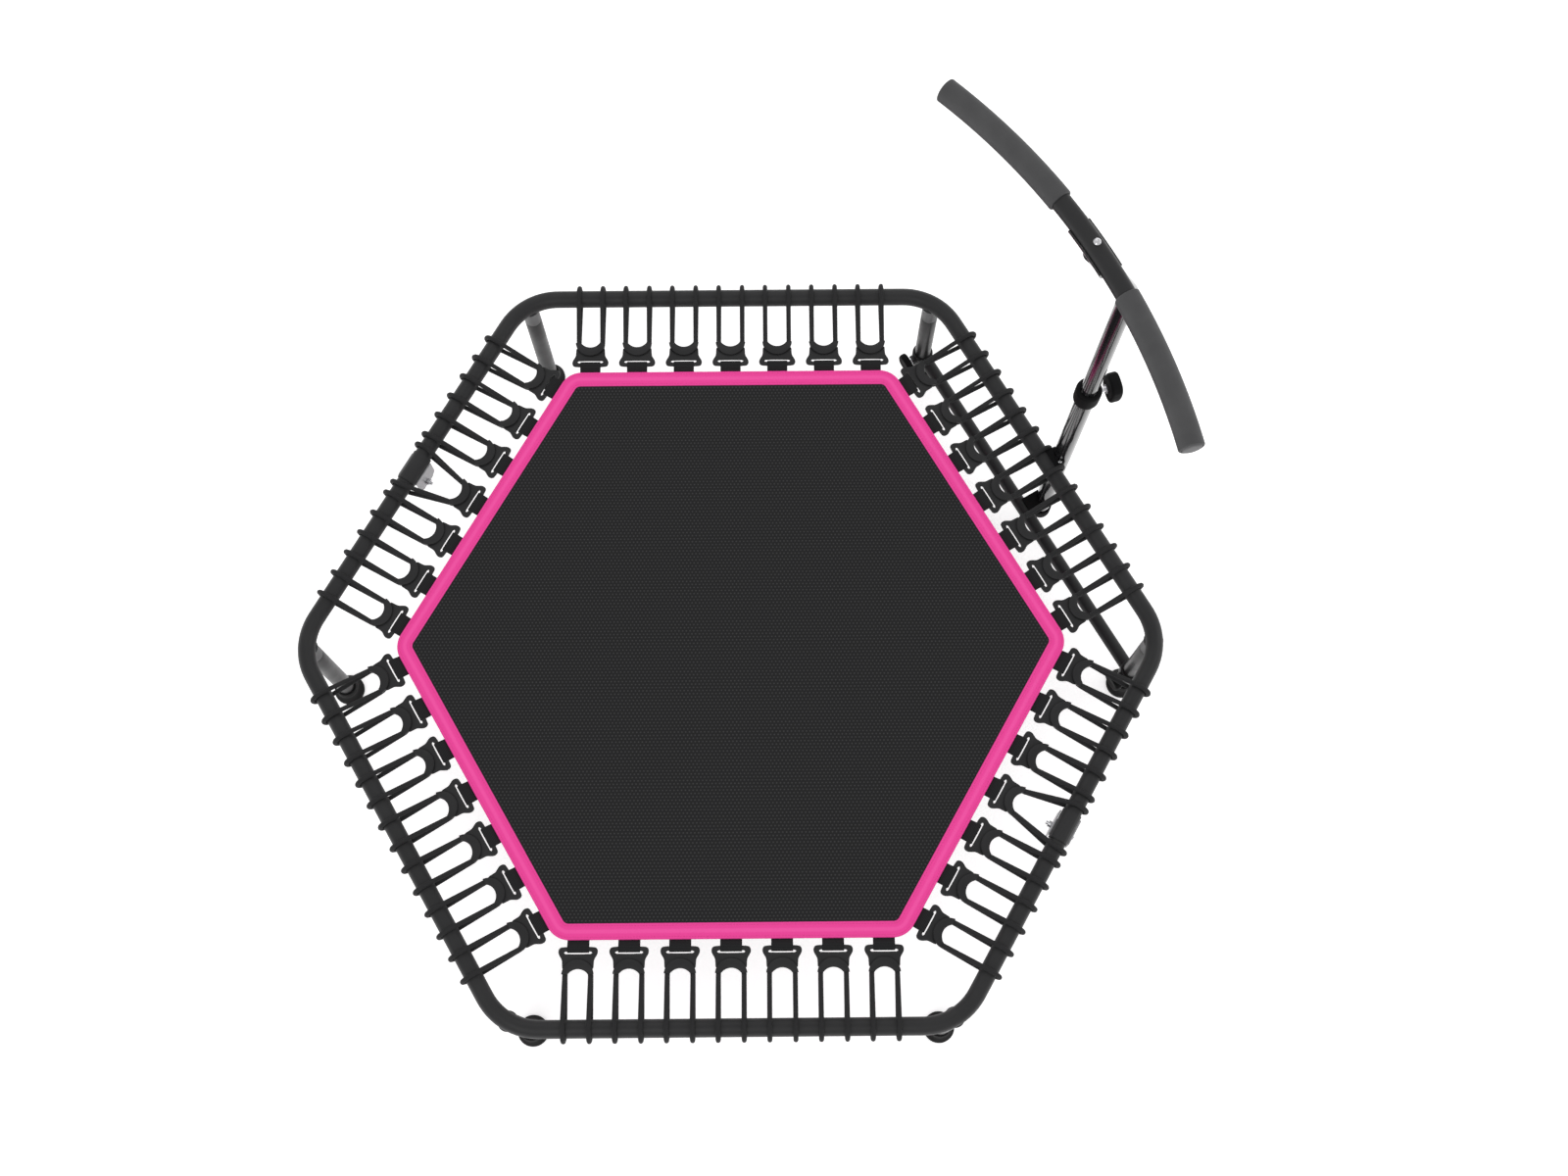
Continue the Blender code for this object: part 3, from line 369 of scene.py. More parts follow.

# %% [markdown]
# The post is enamelled to a high gloss. Its long grey streaks are painted reflections: light tone put into
# the black colour to stand for the lamps mirrored along the tube. Noise that is stretched along Z gives those
# lines: it drives the tone and, more weakly, the roughness.

# %% Gloss finish with painted reflection streaks
post_gloss, tree, shader = finish("post_gloss", (0.008, 0.008, 0.009), 0.14, coat=0.4, gloss=0.5)
reflection_streaks = noise(tree, place_in(tree, scale=(1, 1, 0.004)), 330, 1.0)
# Painted reflection: the stretched noise lightens the black base colour in long grey lines.
tint(tree, between(tree, reflection_streaks, 0, 1, 0.52, 0.72), (0.007, 0.007, 0.008), (0.060, 0.060, 0.061), shader)
tree.links.new(between(tree, reflection_streaks, 0.10, 0.18), shader.inputs["Roughness"])

# %% [markdown]
# Closed-cell foam is soft to the eye because its skin is full of small round cells. Voronoi distance
# gives cells of about a millimetre, and a slow noise keeps the tone from being flat.

# %% Foam
foam, tree, shader = finish("foam", (0.055, 0.055, 0.057), 0.58, gloss=0.45)
where = place_in(tree)
tint(tree, between(tree, noise(tree, where, 30), 0, 1), (0.050, 0.050, 0.052), (0.064, 0.064, 0.066), shader)
cells = add(tree, "ShaderNodeTexVoronoi", Scale=1100.0)
tree.links.new(where, cells.inputs["Vector"])
bump(tree, cells.outputs["Distance"], shader, 0.00018)

# %% [markdown]
# The jumping cloth is woven so that its crossings stand out as small light dots in a honeycomb order.
# Two rectangular lattices, one shifted by half a cell each way, make that order. In each lattice the
# distance to the cell's middle decides whether a point lies on a dot.


# %% Woven cloth
def lattice(tree, where, cell, shift):
    """Distance in metres to the nearest cell's middle: |(fraction(p / cell + shift) - 1/2) * cell|."""
    step = where
    for operation, values in (("DIVIDE", (*cell, 1)), ("ADD", (*shift, 0)), ("FRACTION", None),
                              ("SUBTRACT", (0.5, 0.5, 0)), ("MULTIPLY", (*cell, 0))):
        node = add(tree, "ShaderNodeVectorMath", operation=operation)
        tree.links.new(step, node.inputs[0])
        if values:
            node.inputs[1].default_value = values
        step = node.outputs["Vector"]
    node = add(tree, "ShaderNodeVectorMath", operation="LENGTH")
    tree.links.new(step, node.inputs[0])
    return node.outputs["Value"]


DOT_PITCH = 0.0056
jump_cloth, tree, shader = finish("jump_cloth", (0.016, 0.016, 0.017), 0.62, gloss=0.12)
where = place_in(tree)
cell = (DOT_PITCH, DOT_PITCH * math.sqrt(3))
nearest = add(tree, "ShaderNodeMath", operation="MINIMUM")
tree.links.new(lattice(tree, where, cell, (0, 0)), nearest.inputs[0])
tree.links.new(lattice(tree, where, cell, (0.5, 0.5)), nearest.inputs[1])
dots = between(tree, nearest.outputs["Value"], 1, 0, 0.0008, 0.0016)
tint(tree, dots, (0.0165, 0.0165, 0.0172), (0.048, 0.048, 0.049), shader)
threads = noise(tree, place_in(tree, scale=(1, 0.3, 1)), 2600, 2)
relief = add(tree, "ShaderNodeMath", operation="ADD")
tree.links.new(dots, relief.inputs[0])
tree.links.new(threads, relief.inputs[1])
bump(tree, relief.outputs["Value"], shader, 0.00016)

# %% [markdown]
# Tape, webbing and cord are woven along their length, so their patterns follow the UV map, which
# runs in metres along the piece. Tape and webbing have cross ribs. A cord's braid is two sets of
# spiral bands that cross, which a pair of waves over the UV map gives.


# %% Woven tape and braided cord
def ribbed(name, dark, light, roughness, ribs_per_metre, depth):
    """Cross ribs: a sine wave of the distance along the piece."""
    made, tree, shader = finish(name, light, roughness, sheen=0.03, gloss=0.15)
    wave = add(tree, "ShaderNodeTexWave", wave_type="BANDS", bands_direction="X", Scale=1.0)
    tree.links.new(place_in(tree, "UV", (ribs_per_metre / 3.1416 / 2, 1, 1)), wave.inputs["Vector"])
    tint(tree, wave.outputs["Fac"], dark, light, shader)
    bump(tree, wave.outputs["Fac"], shader, depth)
    return made


def braided(name, dark, light, roughness):
    """Two waves that lean opposite ways round the cord, and the higher of the two at each point."""
    made, tree, shader = finish(name, light, roughness, sheen=0.02, gloss=0.15)
    top = add(tree, "ShaderNodeMath", operation="MAXIMUM")
    for k, lean in enumerate((8.0, -8.0)):
        wave = add(tree, "ShaderNodeTexWave", wave_type="BANDS", bands_direction="DIAGONAL", Scale=1.0)
        tree.links.new(place_in(tree, "UV", (240, lean, 1)), wave.inputs["Vector"])
        tree.links.new(wave.outputs["Fac"], top.inputs[k])
    tint(tree, top.outputs["Value"], dark, light, shader)
    bump(tree, top.outputs["Value"], shader, 0.00025)
    return made


webbing = ribbed("webbing", (0.010, 0.010, 0.011), (0.020, 0.020, 0.021), 0.78, 900, 0.00015)
cord_braid = braided("cord_braid", (0.016, 0.016, 0.017), (0.030, 0.030, 0.031), 0.7)
thread = ribbed("thread", (0.60, 0.05, 0.24), (0.86, 0.12, 0.40), 0.6, 1600, 0.00005)

# %% [markdown]
# The edge tape has a slightly lighter stripe along its middle, found by how far V lies from it.

# %% The pink edge tape
edge_tape, tree, shader = finish("edge_tape", (0.93, 0.075, 0.37), 0.66, gloss=0.12)
uv = place_in(tree, "UV")
parts = add(tree, "ShaderNodeSeparateXYZ")
tree.links.new(uv, parts.inputs["Vector"])
off_middle = add(tree, "ShaderNodeMath", operation="SUBTRACT")
off_middle.inputs[1].default_value = 0.35
tree.links.new(parts.outputs["Y"], off_middle.inputs[0])
size = add(tree, "ShaderNodeMath", operation="ABSOLUTE")
tree.links.new(off_middle.outputs["Value"], size.inputs[0])
stripe = between(tree, size.outputs["Value"], 1, 0, 0.020, 0.055)
tint(tree, stripe, (0.92, 0.068, 0.355), (0.97, 0.095, 0.405), shader)
wave = add(tree, "ShaderNodeTexWave", wave_type="BANDS", bands_direction="X", Scale=1.0)
tree.links.new(place_in(tree, "UV", (130, 1, 1)), wave.inputs["Vector"])
bump(tree, wave.outputs["Fac"], shader, 0.00012)
print("finishes:", len(bpy.data.materials))

# %% [markdown]
# The rail is one bent tube to the eye, cut in two where a sleeve covers the joint. Its line is the
# hexagon's straight sides joined by arcs of one bending radius. Each half is a capped tube along half
# of that line, and each leg's socket is a short tube welded beneath a corner.


# %% The rail
def rail_line(first_corner):
    """Half the rail's centreline: from a joint, straight and round three corners, to the other joint."""
    reach = (RAIL_APOTHEM - RAIL_BEND) / math.cos(math.radians(30))
    start = math.radians(first_corner - 30)
    points = [[RAIL_APOTHEM * math.cos(start), RAIL_APOTHEM * math.sin(start)]]
    for k in range(3):
        c = math.radians(first_corner + 60 * k)
        a = c + np.radians(np.linspace(-30, 30, 25))
        points += np.stack([reach * math.cos(c) + RAIL_BEND * np.cos(a),
                            reach * math.sin(c) + RAIL_BEND * np.sin(a)], 1).tolist()
    end = math.radians(first_corner + 150)
    points.append([RAIL_APOTHEM * math.cos(end), RAIL_APOTHEM * math.sin(end)])
    flat = np.array(points) + np.array([0, CENTRE_Y])
    return np.column_stack([flat, np.full(len(flat), RAIL_Z)])


def leg_place(number):
    """Where leg k stands: the leg distance from the centre, at 60 degrees times k."""
    a = math.radians(60 * number)
    return LEG_DISTANCE * math.cos(a), LEG_DISTANCE * math.sin(a) + CENTRE_Y


for name, first_corner, legs in (("rail_handle_half", 60, (1, 2, 3)), ("rail_far_half", 240, (4, 5, 6))):
    grids = [capped(resample(rail_line(first_corner), 260), RAIL_RADIUS, 0.0006)]
    cad = "rail_half_handle" if "handle" in name else "rail_half_far"
    carried(build(name, grids, powder_coat), "frame", "frame_paint", cad)
    for k in legs:
        x, y = leg_place(k)
        stub = turned([(0.0099, 0), (0.0126, 0), (0.0131, 0.0005), (0.0131, 0.034), (0.0139, 0.0385),
                       (0.0152, 0.0415)], (x, y, SOCKET_END))
        carried(build(f"leg_socket_{k}", [stub], socket_grey), "frame", "leg_steel")
print("rail length", round(2 * float(np.linalg.norm(np.diff(rail_line(60), axis=0), axis=1).sum()), 3))

# %% [markdown]
# A leg is a plain enamelled tube with a rolled edge at its top. Its foot is a rubber bell: a cuff that
# grips the tube, a waist, and a wide sole with a rounded rim. Both are turned shapes.

# %% Legs and feet
for k in range(1, 7):
    x, y = leg_place(k)
    top = SOCKET_END - 0.0003
    leg = turned([(0.0096, top), (LEG_RADIUS - 0.0009, top), (LEG_RADIUS - 0.0002, top - 0.0004),
                  (LEG_RADIUS, top - 0.0012), (LEG_RADIUS, 0.18), (LEG_RADIUS, 0.1), (LEG_RADIUS, 0.0045),
                  (0, 0.0045)], (x, y, 0))
    carried(build(f"leg_tube_{k}", [leg], leg_enamel), "frame", "leg_steel", f"leg_{k}")
    foot = turned([(0, 0.0044), (0.0134, 0.0044), (0.0134, 0.0315), (0.0140, 0.0319),
                   (0.0155, 0.0319), (0.0164, 0.0312), (0.0167, 0.0300),
                   (0.0168, 0.0265), (0.0174, 0.0255), (0.0174, 0.0235), (0.0170, 0.0225), (0.0178, 0.0170),
                   (0.0195, 0.0125), (0.0222, 0.0098), (0.0238, 0.0080), (0.0245, 0.0058), (0.0245, 0.0022),
                   (0.0240, 0.0008), (0.0230, 0.0), (0.0190, 0.0), (0.0184, 0.0007), (0, 0.0007)], (x, y, 0))
    carried(build(f"foot_bell_{k}", [foot], foot_rubber), "frame", "rubber", f"foot_{k}")
print("legs and feet: 6 each")

# %% [markdown]
# The crossbar is a tube whose ends are pressed into a collar round each leg, with a threaded boss for
# the clamp screw. Each collar and each boss is a turned shape of its own, because a clear edge shows
# where they meet.


# %% The crossbar
def along(start, end, profile, sides=32):
    """A turned shape on any line: (radius, share or distance) pairs carried from start towards end."""
    start, end = np.asarray(start, float), np.asarray(end, float)
    way = (end - start) / np.linalg.norm(end - start)
    normal = np.cross(way, UP if abs(way[2]) < 0.9 else np.array([1.0, 0, 0]))
    normal /= np.linalg.norm(normal)
    second = np.cross(way, normal)
    r, d = np.array(profile, float).T
    a = -np.linspace(0, 2 * math.pi, sides, endpoint=False)
    ring = normal * np.cos(a)[:, None] + second * np.sin(a)[:, None]
    return (start + d[:, None] * way)[:, None] + r[:, None, None] * ring


LEG_X, LEG_Y = leg_place(1)
BAR_Z = 0.090
grids, collars = [along((-LEG_X + 0.012, LEG_Y, BAR_Z), (LEG_X, LEG_Y, BAR_Z),
                        [(0.0108, 0), (0.0108, 0.2), (0.0108, 0.4), (0.0108, 2 * LEG_X - 0.024)])], []
for side in (1, -1):
    collars.append(turned([(0.0136, -0.0115), (0.0162, -0.0115), (0.0168, -0.0111), (0.01705, -0.0103),
                           (0.01705, 0.0103), (0.0168, 0.0111), (0.0162, 0.0115), (0.0136, 0.0115)],
                          (side * LEG_X, LEG_Y, BAR_Z)))
    grids.append(along((side * LEG_X, LEG_Y - 0.0145, BAR_Z), (side * LEG_X, LEG_Y - 1, BAR_Z),
                       [(0.0082, 0), (0.0080, 0.002), (0.0080, 0.0060), (0.0076, 0.0065), (0.0044, 0.0065)]))
carried(build("crossbar_tube", grids, powder_coat), "frame", "frame_paint", "crossbar")
carried(build("crossbar_collars", collars, powder_coat, wrap_rows=True), "frame", "frame_paint")
print("crossbar between the legs", round(2 * LEG_X, 3))

# %% [markdown]
# A clamp knob is a thick oblong with soft edges and shallow finger flutes, moulded round its screw. Its
# outline is a squared oval: cosine and sine raised to a power below one, which pushes the sides out
# towards a rectangle. Levels along the screw carry the outline, drawn in at both faces.


# %% Clamp knobs
def basis(origin, direction, tilt):
    """Axes of a clamp screw: Z along the screw, and X and Y turned about it by the tilt."""
    way = np.array([math.cos(math.radians(direction)), math.sin(math.radians(direction)), 0.0])
    turn = Vector(way).to_track_quat("Z", "Y").to_matrix()
    x, y = np.array(turn.col[0]), np.array(turn.col[1])
    c, s = math.cos(math.radians(tilt)), math.sin(math.radians(tilt))
    return np.array(origin, float), np.stack([x * c + y * s, -x * s + y * c, way])


def knob_grid(half_long, half_wide, depth):
    """Squared ovals at rising levels: (share of full size, height), with flutes on the full ones."""
    t = np.linspace(0, 2 * math.pi, 96, endpoint=False)
    x = half_long * np.sign(np.cos(t)) * np.abs(np.cos(t)) ** 0.7
    y = half_wide * np.sign(np.sin(t)) * np.abs(np.sin(t)) ** 0.7
    soft = 0.0022
    levels = [(0, 0.0004), (0.50, 0.0004), (0.60, 0), (0.86, 0), (0.94, soft * 0.3), (0.985, soft),
              (1.0, soft * 1.8)]
    levels += [(s, depth - z) for s, z in levels[::-1]]
    flute = 0.020 * (0.5 - 0.5 * np.cos(12 * t))
    rows = []
    for share, z in levels:
        scale = share * (1 - flute * max(0.0, (share - 0.85) / 0.15))
        rows.append(np.stack([x * scale, y * scale, np.full_like(x, z)], 1))
    return np.array(rows)


def clamp(label, body, origin, direction, reach, tilt, size):
    """A knob that turns with its body, on its screw at a distance along the screw's direction."""
    start, axes = basis(origin, direction, tilt)
    grid = start + axes[2] * reach + knob_grid(*size) @ axes
    carried(build(f"{label}_clamp_knob", [grid], moulded_black), body, "black_plastic", f"{label}_knob")


KNOB, BAR_KNOB = (0.0250, 0.0190, 0.0160), (0.0165, 0.0155, 0.0110)
KNOB_HEIGHT, KNOB_DIRECTION, KNOB_REACH, KNOB_TILT = 0.548, 75, 0.0300, 90
bar_knob_back = LEG_Y - float(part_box("crossbar_1_knob")[1][1])
for n, side in ((1, 1), (2, -1)):
    clamp(f"crossbar_{n}", f"crossbar_clamp_{n}", (side * LEG_X, LEG_Y, BAR_Z), -90, bar_knob_back, 0,
          BAR_KNOB)
clamp("height", "height_clamp", (0, POST_Y, KNOB_HEIGHT), KNOB_DIRECTION, KNOB_REACH, KNOB_TILT, KNOB)
print("knob back from the leg's axis", round(bar_knob_back, 4))

# %% [markdown]
# The post is two glossy tubes, one sliding in the other, with a satin collar that holds the screw. The
# upper tube stands straight, then bends inwards towards the person and ends in a saddle under the bar.

# %% The post
lower = along((0, POST_Y, 0.042), (0, POST_Y, 1),
              [(0.0128, 0), (0.0138, 0), (0.0142, 0.0004), (0.0142, 0.2), (0.0142, 0.5176), (0.0138, 0.518),
               (0.0128, 0.518), (0.0128, 0.2)])
carried(build("post_tube_lower", [lower], post_gloss, wrap_rows=True), "frame", "post_gloss",
        "post_lower_tube")
collar = turned([(0.0129, 0.5663), (0.0155, 0.5663), (0.0172, 0.5657), (0.0184, 0.5641), (0.0190, 0.5612),
                 (0.0190, 0.5400), (0.0188, 0.5350), (0.0180, 0.5316), (0.0168, 0.5304), (0.0146, 0.5303),
                 (0.0144, 0.5306), (0.0144, 0.5602), (0.0129, 0.5604)], (0, POST_Y, 0))
carried(build("height_collar_ring", [collar], moulded_black, wrap_rows=True), "frame", "black_plastic",
        "height_collar")
end_cap_shape = turned([(0, 0.0418), (0.0143, 0.0418), (0.0143, 0.0536), (0.0147, 0.0540), (0.0158, 0.0539),
                        (0.0165, 0.0530), (0.0165, 0.0330), (0.0160, 0.0300), (0.0145, 0.0284),
                        (0.0120, 0.0280), (0, 0.0280)], (0, POST_Y, 0))
carried(build("post_foot_cap", [end_cap_shape], moulded_black), "frame", "black_plastic", "post_end_cap")

BAR_APOTHEM, HANDLE_Z = 0.4993, 1.1095
LEAN_RADIUS, LEAN_START = 0.070, 0.872
saddle_top = HANDLE_Z - 0.0150
reach = POST_APOTHEM - BAR_APOTHEM
lean = 0.0
for _ in range(60):
    lean = math.atan2(reach - LEAN_RADIUS * (1 - math.cos(lean)),
                      saddle_top - LEAN_START - LEAN_RADIUS * math.sin(lean))
a = np.linspace(0, lean, 24)
bend = np.stack([0 * a, POST_Y - LEAN_RADIUS * (1 - np.cos(a)), LEAN_START + LEAN_RADIUS * np.sin(a)], 1)
line = np.concatenate([[[0, POST_Y, 0.300]], bend, [[0, BAR_APOTHEM + CENTRE_Y, saddle_top + 0.002]]])
upper = capped(resample(line, 140), 0.0125, 0.0005, 0.0112)
carried(build("post_tube_upper", [upper], post_gloss), "handle", "post_gloss", "post_upper_tube")
print("upper tube leans", round(math.degrees(lean), 1), "degrees")

# %% [markdown]
# The handlebar is bowed on one large circle. A foam grip covers each end, and a steel saddle, a half
# tube, holds the bar's middle from below. All three follow the same arc, so one function gives the
# point at any distance along the bar.


# %% The handlebar
BOW, BAR_RADIUS, BAR_HALF = 0.8165, 0.0122, 0.2545
GRIP_START, GRIP_END = 0.0676, 0.2558


def bar_point(x):
    """Centre of the bar at a half-chord x: it falls back from the middle by BOW - sqrt(BOW^2 - x^2)."""
    x = np.asarray(x, float)
    y = BAR_APOTHEM - (BOW - np.sqrt(BOW ** 2 - x ** 2)) + CENTRE_Y
    return np.stack([x, y, np.full_like(x, HANDLE_Z)], -1)


bar = capped(bar_point(np.linspace(-BAR_HALF, BAR_HALF, 121)), BAR_RADIUS, 0.0006)
carried(build("handlebar_tube", [bar], powder_coat), "handle", "post_gloss", "handlebar")


def foam_grip(side):
    """A foam sleeve along the bar: its outer side turns in at both ends and comes back along the bore."""
    path = bar_point(side * np.linspace(GRIP_START, GRIP_END, 90))
    outer = capped(path, 0.0151, 0.0022, 0.0124, sides=40)
    bore = tube(path, 0.0124, sides=40)[4:-4:6]
    return np.concatenate([outer, bore[::-1]])


for side, label in ((-1, "left"), (1, "right")):
    grip = build(f"foam_grip_{label}", [foam_grip(side)], foam, wrap_rows=True)
    carried(grip, "handle", "foam", f"grip_{label}")
    inner, outer = bar_point(side * BAR_HALF), bar_point(side * 0.2575)
    plug = along(inner, outer,
                 [(0.0120, 0), (0.0119, 0.0012), (0.0108, 0.0024), (0.0085, 0.0028), (0, 0.0026)])
    carried(build(f"bar_end_plug_{label}", [plug], cap_grey), "handle", "rubber",
            f"handlebar_end_cap_{label}")

a = np.linspace(-math.pi / 2, math.pi / 2, 25)
across = np.concatenate([np.stack([0.0149 * np.sin(a), -0.0149 * np.cos(a)], 1),
                         np.stack([0.0126 * np.sin(a[::-1]), -0.0126 * np.cos(a[::-1])], 1)])
x = np.linspace(-0.033, 0.033, 23)
outward = np.stack([x / BOW, np.sqrt(1 - (x / BOW) ** 2), 0 * x], 1)
saddle = bar_point(x)[:, None] + outward[:, None] * across[None, :, :1] + UP * across[None, :, 1:]
carried(build("bar_saddle", [saddle], post_gloss), "handle", "post_gloss", "handlebar_saddle")
print("bar chord", round(2 * BAR_HALF, 3), "grip length", round(GRIP_END - GRIP_START, 4))

# %% [markdown]
# The mat is one sheet of woven cloth, pulled flat by the cords all round. Pulled cloth isn't a perfect
# plane: it is drawn tightest at its edge and has a very slight belly. Concentric rounded hexagons give
# its grid, and the height falls by a fraction of a millimetre towards the middle.


# %% The jumping cloth
def hexagon_ring(corner, rounding, steps=9, straight=12):
    """Points round a hexagon with arcs at its corners, with its straight sides divided too."""
    reach = corner - rounding / math.cos(math.radians(30))
    ring = []
    for k in range(6):
        c = math.radians(60 * k)
        a = c + np.radians(np.linspace(-30, 30, steps))
        arc = np.stack([reach * math.cos(c) + rounding * np.cos(a),
                        reach * math.sin(c) + rounding * np.sin(a)], 1)
        n = math.radians(60 * (k + 1))
        start_next = np.array([reach * math.cos(n) + rounding * math.cos(n - math.radians(30)),
                               reach * math.sin(n) + rounding * math.sin(n - math.radians(30))])
        share = np.linspace(0, 1, straight + 2)[1:-1, None]
        ring += [arc, arc[-1] + (start_next - arc[-1]) * share]
    return np.concatenate(ring)


MAT_TOP = 0.2967
edge = hexagon_ring(0.4850, 0.0140)
shares = np.linspace(0, 1, 42)
flat = edge[None] * shares[:, None, None]
belly = -0.0006 * (1 - shares ** 2)
top = np.dstack([flat, np.broadcast_to((MAT_TOP + belly)[:, None], flat.shape[:2])])
under = top[::-1] - [0, 0, 0.0011]
cloth = np.concatenate([top, under]) + [0, CENTRE_Y, 0]
mat = carried(build("jumping_cloth", [cloth], jump_cloth), "mat", "jump_cloth", "jump_mat")
x, y = edge.T

# %% [markdown]
# The pink edge is a broad tape folded over the cloth and sewn down along both sides. Its section is a
# flat bar with round edges and a slight crown, carried round the hexagon. Two rows of stitches lie in
# shallow dimples, each stitch a small bead of thread of its own.


# %% The sewn edge
def band(share):
    """A ring part of the way across the tape: 0 is its inner edge and 1 its outer edge."""
    corner = 0.4798 + (0.5076 - 0.4798) * share
    return hexagon_ring(corner, 0.0092 + (0.0358 - 0.0092) * share, steps=11, straight=30)


across = [(0.00, 0.2951), (0.015, 0.2966), (0.045, 0.2973), (0.12, 0.29745), (0.16, 0.2971), (0.20, 0.29745),
          (0.35, 0.2977), (0.50, 0.2977), (0.65, 0.2977), (0.80, 0.29745), (0.84, 0.2971), (0.88, 0.29745),
          (0.955, 0.2973), (0.985, 0.2966), (1.00, 0.2951), (0.985, 0.2940), (0.90, 0.2937), (0.50, 0.2937),
          (0.10, 0.2937), (0.015, 0.2940)]
section = np.stack([np.column_stack([band(s), np.full(len(band(s)), z)]) for s, z in across], 1)
section = section + [0, CENTRE_Y, 0]
edge_piece = carried(build("edge_tape_ring", [section], edge_tape, wrap_rows=True), "mat", "binding",
                     "edge_binding")

STITCH, GAP = 0.0030, 0.0042
seams = []
for share in (0.16, 0.84):
    ring = band(share)
    ring = np.column_stack([ring, np.full(len(ring), 0.2972)]) + [0, CENTRE_Y, 0]
    closed = np.concatenate([ring, ring[:1]])
    s = np.concatenate([[0], np.cumsum(np.linalg.norm(np.diff(closed, axis=0), axis=1))])
    count = int(s[-1] // GAP)
    at = np.arange(count)[:, None] * (s[-1] / count) + np.linspace(0, STITCH, 5)[None]
    centre = np.stack([np.interp(at, s, closed[:, k]) for k in range(3)], -1)
    centre[..., 2] += 0.00025 * np.sin(np.linspace(0, math.pi, 5))[None]
    way = centre[:, -1] - centre[:, 0]
    way /= np.linalg.norm(way, axis=1)[:, None]
    side_way = np.cross(way, UP)
    radius = 0.00032 * np.array([0.1, 0.85, 1.0, 0.85, 0.1])
    turn = -np.linspace(0, 2 * math.pi, 6, endpoint=False)
    ring_way = (side_way[:, None] * np.cos(turn)[None, :, None] + UP * np.sin(turn)[None, :, None])
    beads = centre[:, :, None] + radius[None, :, None, None] * ring_way[:, None]
    seams += list(beads)
stitches = carried(build("edge_stitching", seams, thread), "mat", "binding")
print("stitches", len(seams))

# %% [markdown]
# A hook is one nylon moulding. Its wide ears hold a slot for the webbing, its shoulders narrow to two
# horns, and a raised cradle bends round the loop of the elastic cord and covers it. The plate is a ring
# of quads between its outline and its slot, with rounded edges. The cradle is a channel section swept
# round an arc: its rim stands on the plate, and its inner wall bounds the opening.

# %% Hook shapes
HOOK_TOP, HOOK_LOW = 0.2966, 0.2927
SLOT_Y, SLOT_HALF, SLOT_R = 0.4574, 0.0200, 0.0018
CORD, CORD_TOP, BIGHT_Y = 0.0036, 0.2958, 0.4904


def smooth_loop(corners, count, rounds=3):
    """A closed outline with its corners cut again and again, then sampled at equal distances."""
    p = np.array(corners, float)
    for _ in range(rounds):
        nxt = np.roll(p, -1, 0)
        p = np.stack([p * 0.75 + nxt * 0.25, p * 0.25 + nxt * 0.75], 1).reshape(-1, 2)
    closed = np.concatenate([p, p[:1]])
    s = np.concatenate([[0], np.cumsum(np.linalg.norm(np.diff(closed, axis=0), axis=1))])
    at = np.linspace(0, s[-1], count, endpoint=False)
    return np.stack([np.interp(at, s, closed[:, k]) for k in range(2)], 1)


def slot_loop(count):
    """The slot: a thin straight opening whose ends widen to small round eyes."""
    t = np.linspace(0, 2 * math.pi, count, endpoint=False) - math.pi / 2
    x = SLOT_HALF * np.sign(np.cos(t)) * np.abs(np.cos(t)) ** 0.6
    eye = 1 + 0.55 * np.exp(-(((SLOT_HALF - np.abs(x)) / 0.0024 - 0.8) ** 2))
    return np.stack([x, SLOT_Y + SLOT_R * eye * np.sin(t)], 1)


outline = [(-0.0235, 0.4486), (0.0235, 0.4486), (0.0280, 0.4516), (0.0288, 0.4576), (0.0262, 0.4626),
           (0.0232, 0.4672), (0.0228, 0.4730), (0.0226, 0.4800), (0.0206, 0.4806), (0.0175, 0.4762),
           (0.0100, 0.4707), (0.0, 0.4685), (-0.0100, 0.4707), (-0.0175, 0.4762), (-0.0206, 0.4806),
           (-0.0226, 0.4800), (-0.0228, 0.4730), (-0.0232, 0.4672), (-0.0262, 0.4626), (-0.0288, 0.4576),
           (-0.0280, 0.4516)]
COUNT = 96
outer_loop = smooth_loop(outline, COUNT)
outer_loop = np.roll(outer_loop, -int(np.argmin(np.abs(outer_loop[:, 0]) + (outer_loop[:, 1] > 0.455))), 0)
inner_loop = slot_loop(COUNT)


def plate_grid():
    """Across the plate: up the outer edge, in over the top to the slot, down it, and out underneath."""
    soft = 0.0006
    inward = inner_loop - outer_loop
    size = np.linalg.norm(inward, axis=1)[:, None]
    inward = inward / size
    levels = [(0, soft, HOOK_LOW + soft), (0, 0, (HOOK_LOW + HOOK_TOP) / 2), (0, soft, HOOK_TOP - soft * 0.3),
              (0, soft * 2, HOOK_TOP), (1, -soft * 2, HOOK_TOP), (1, -soft, HOOK_TOP - soft * 0.3),
              (1, 0, (HOOK_LOW + HOOK_TOP) / 2), (1, -soft, HOOK_LOW + soft * 0.3), (1, -soft * 2, HOOK_LOW),
              (0, soft * 2, HOOK_LOW)]
    rows = []
    for which, inset, z in levels:
        base = inner_loop if which else outer_loop
        flat = base + inward * inset
        rows.append(np.column_stack([flat, np.full(COUNT, z)]))
    return np.stack(rows, 1)


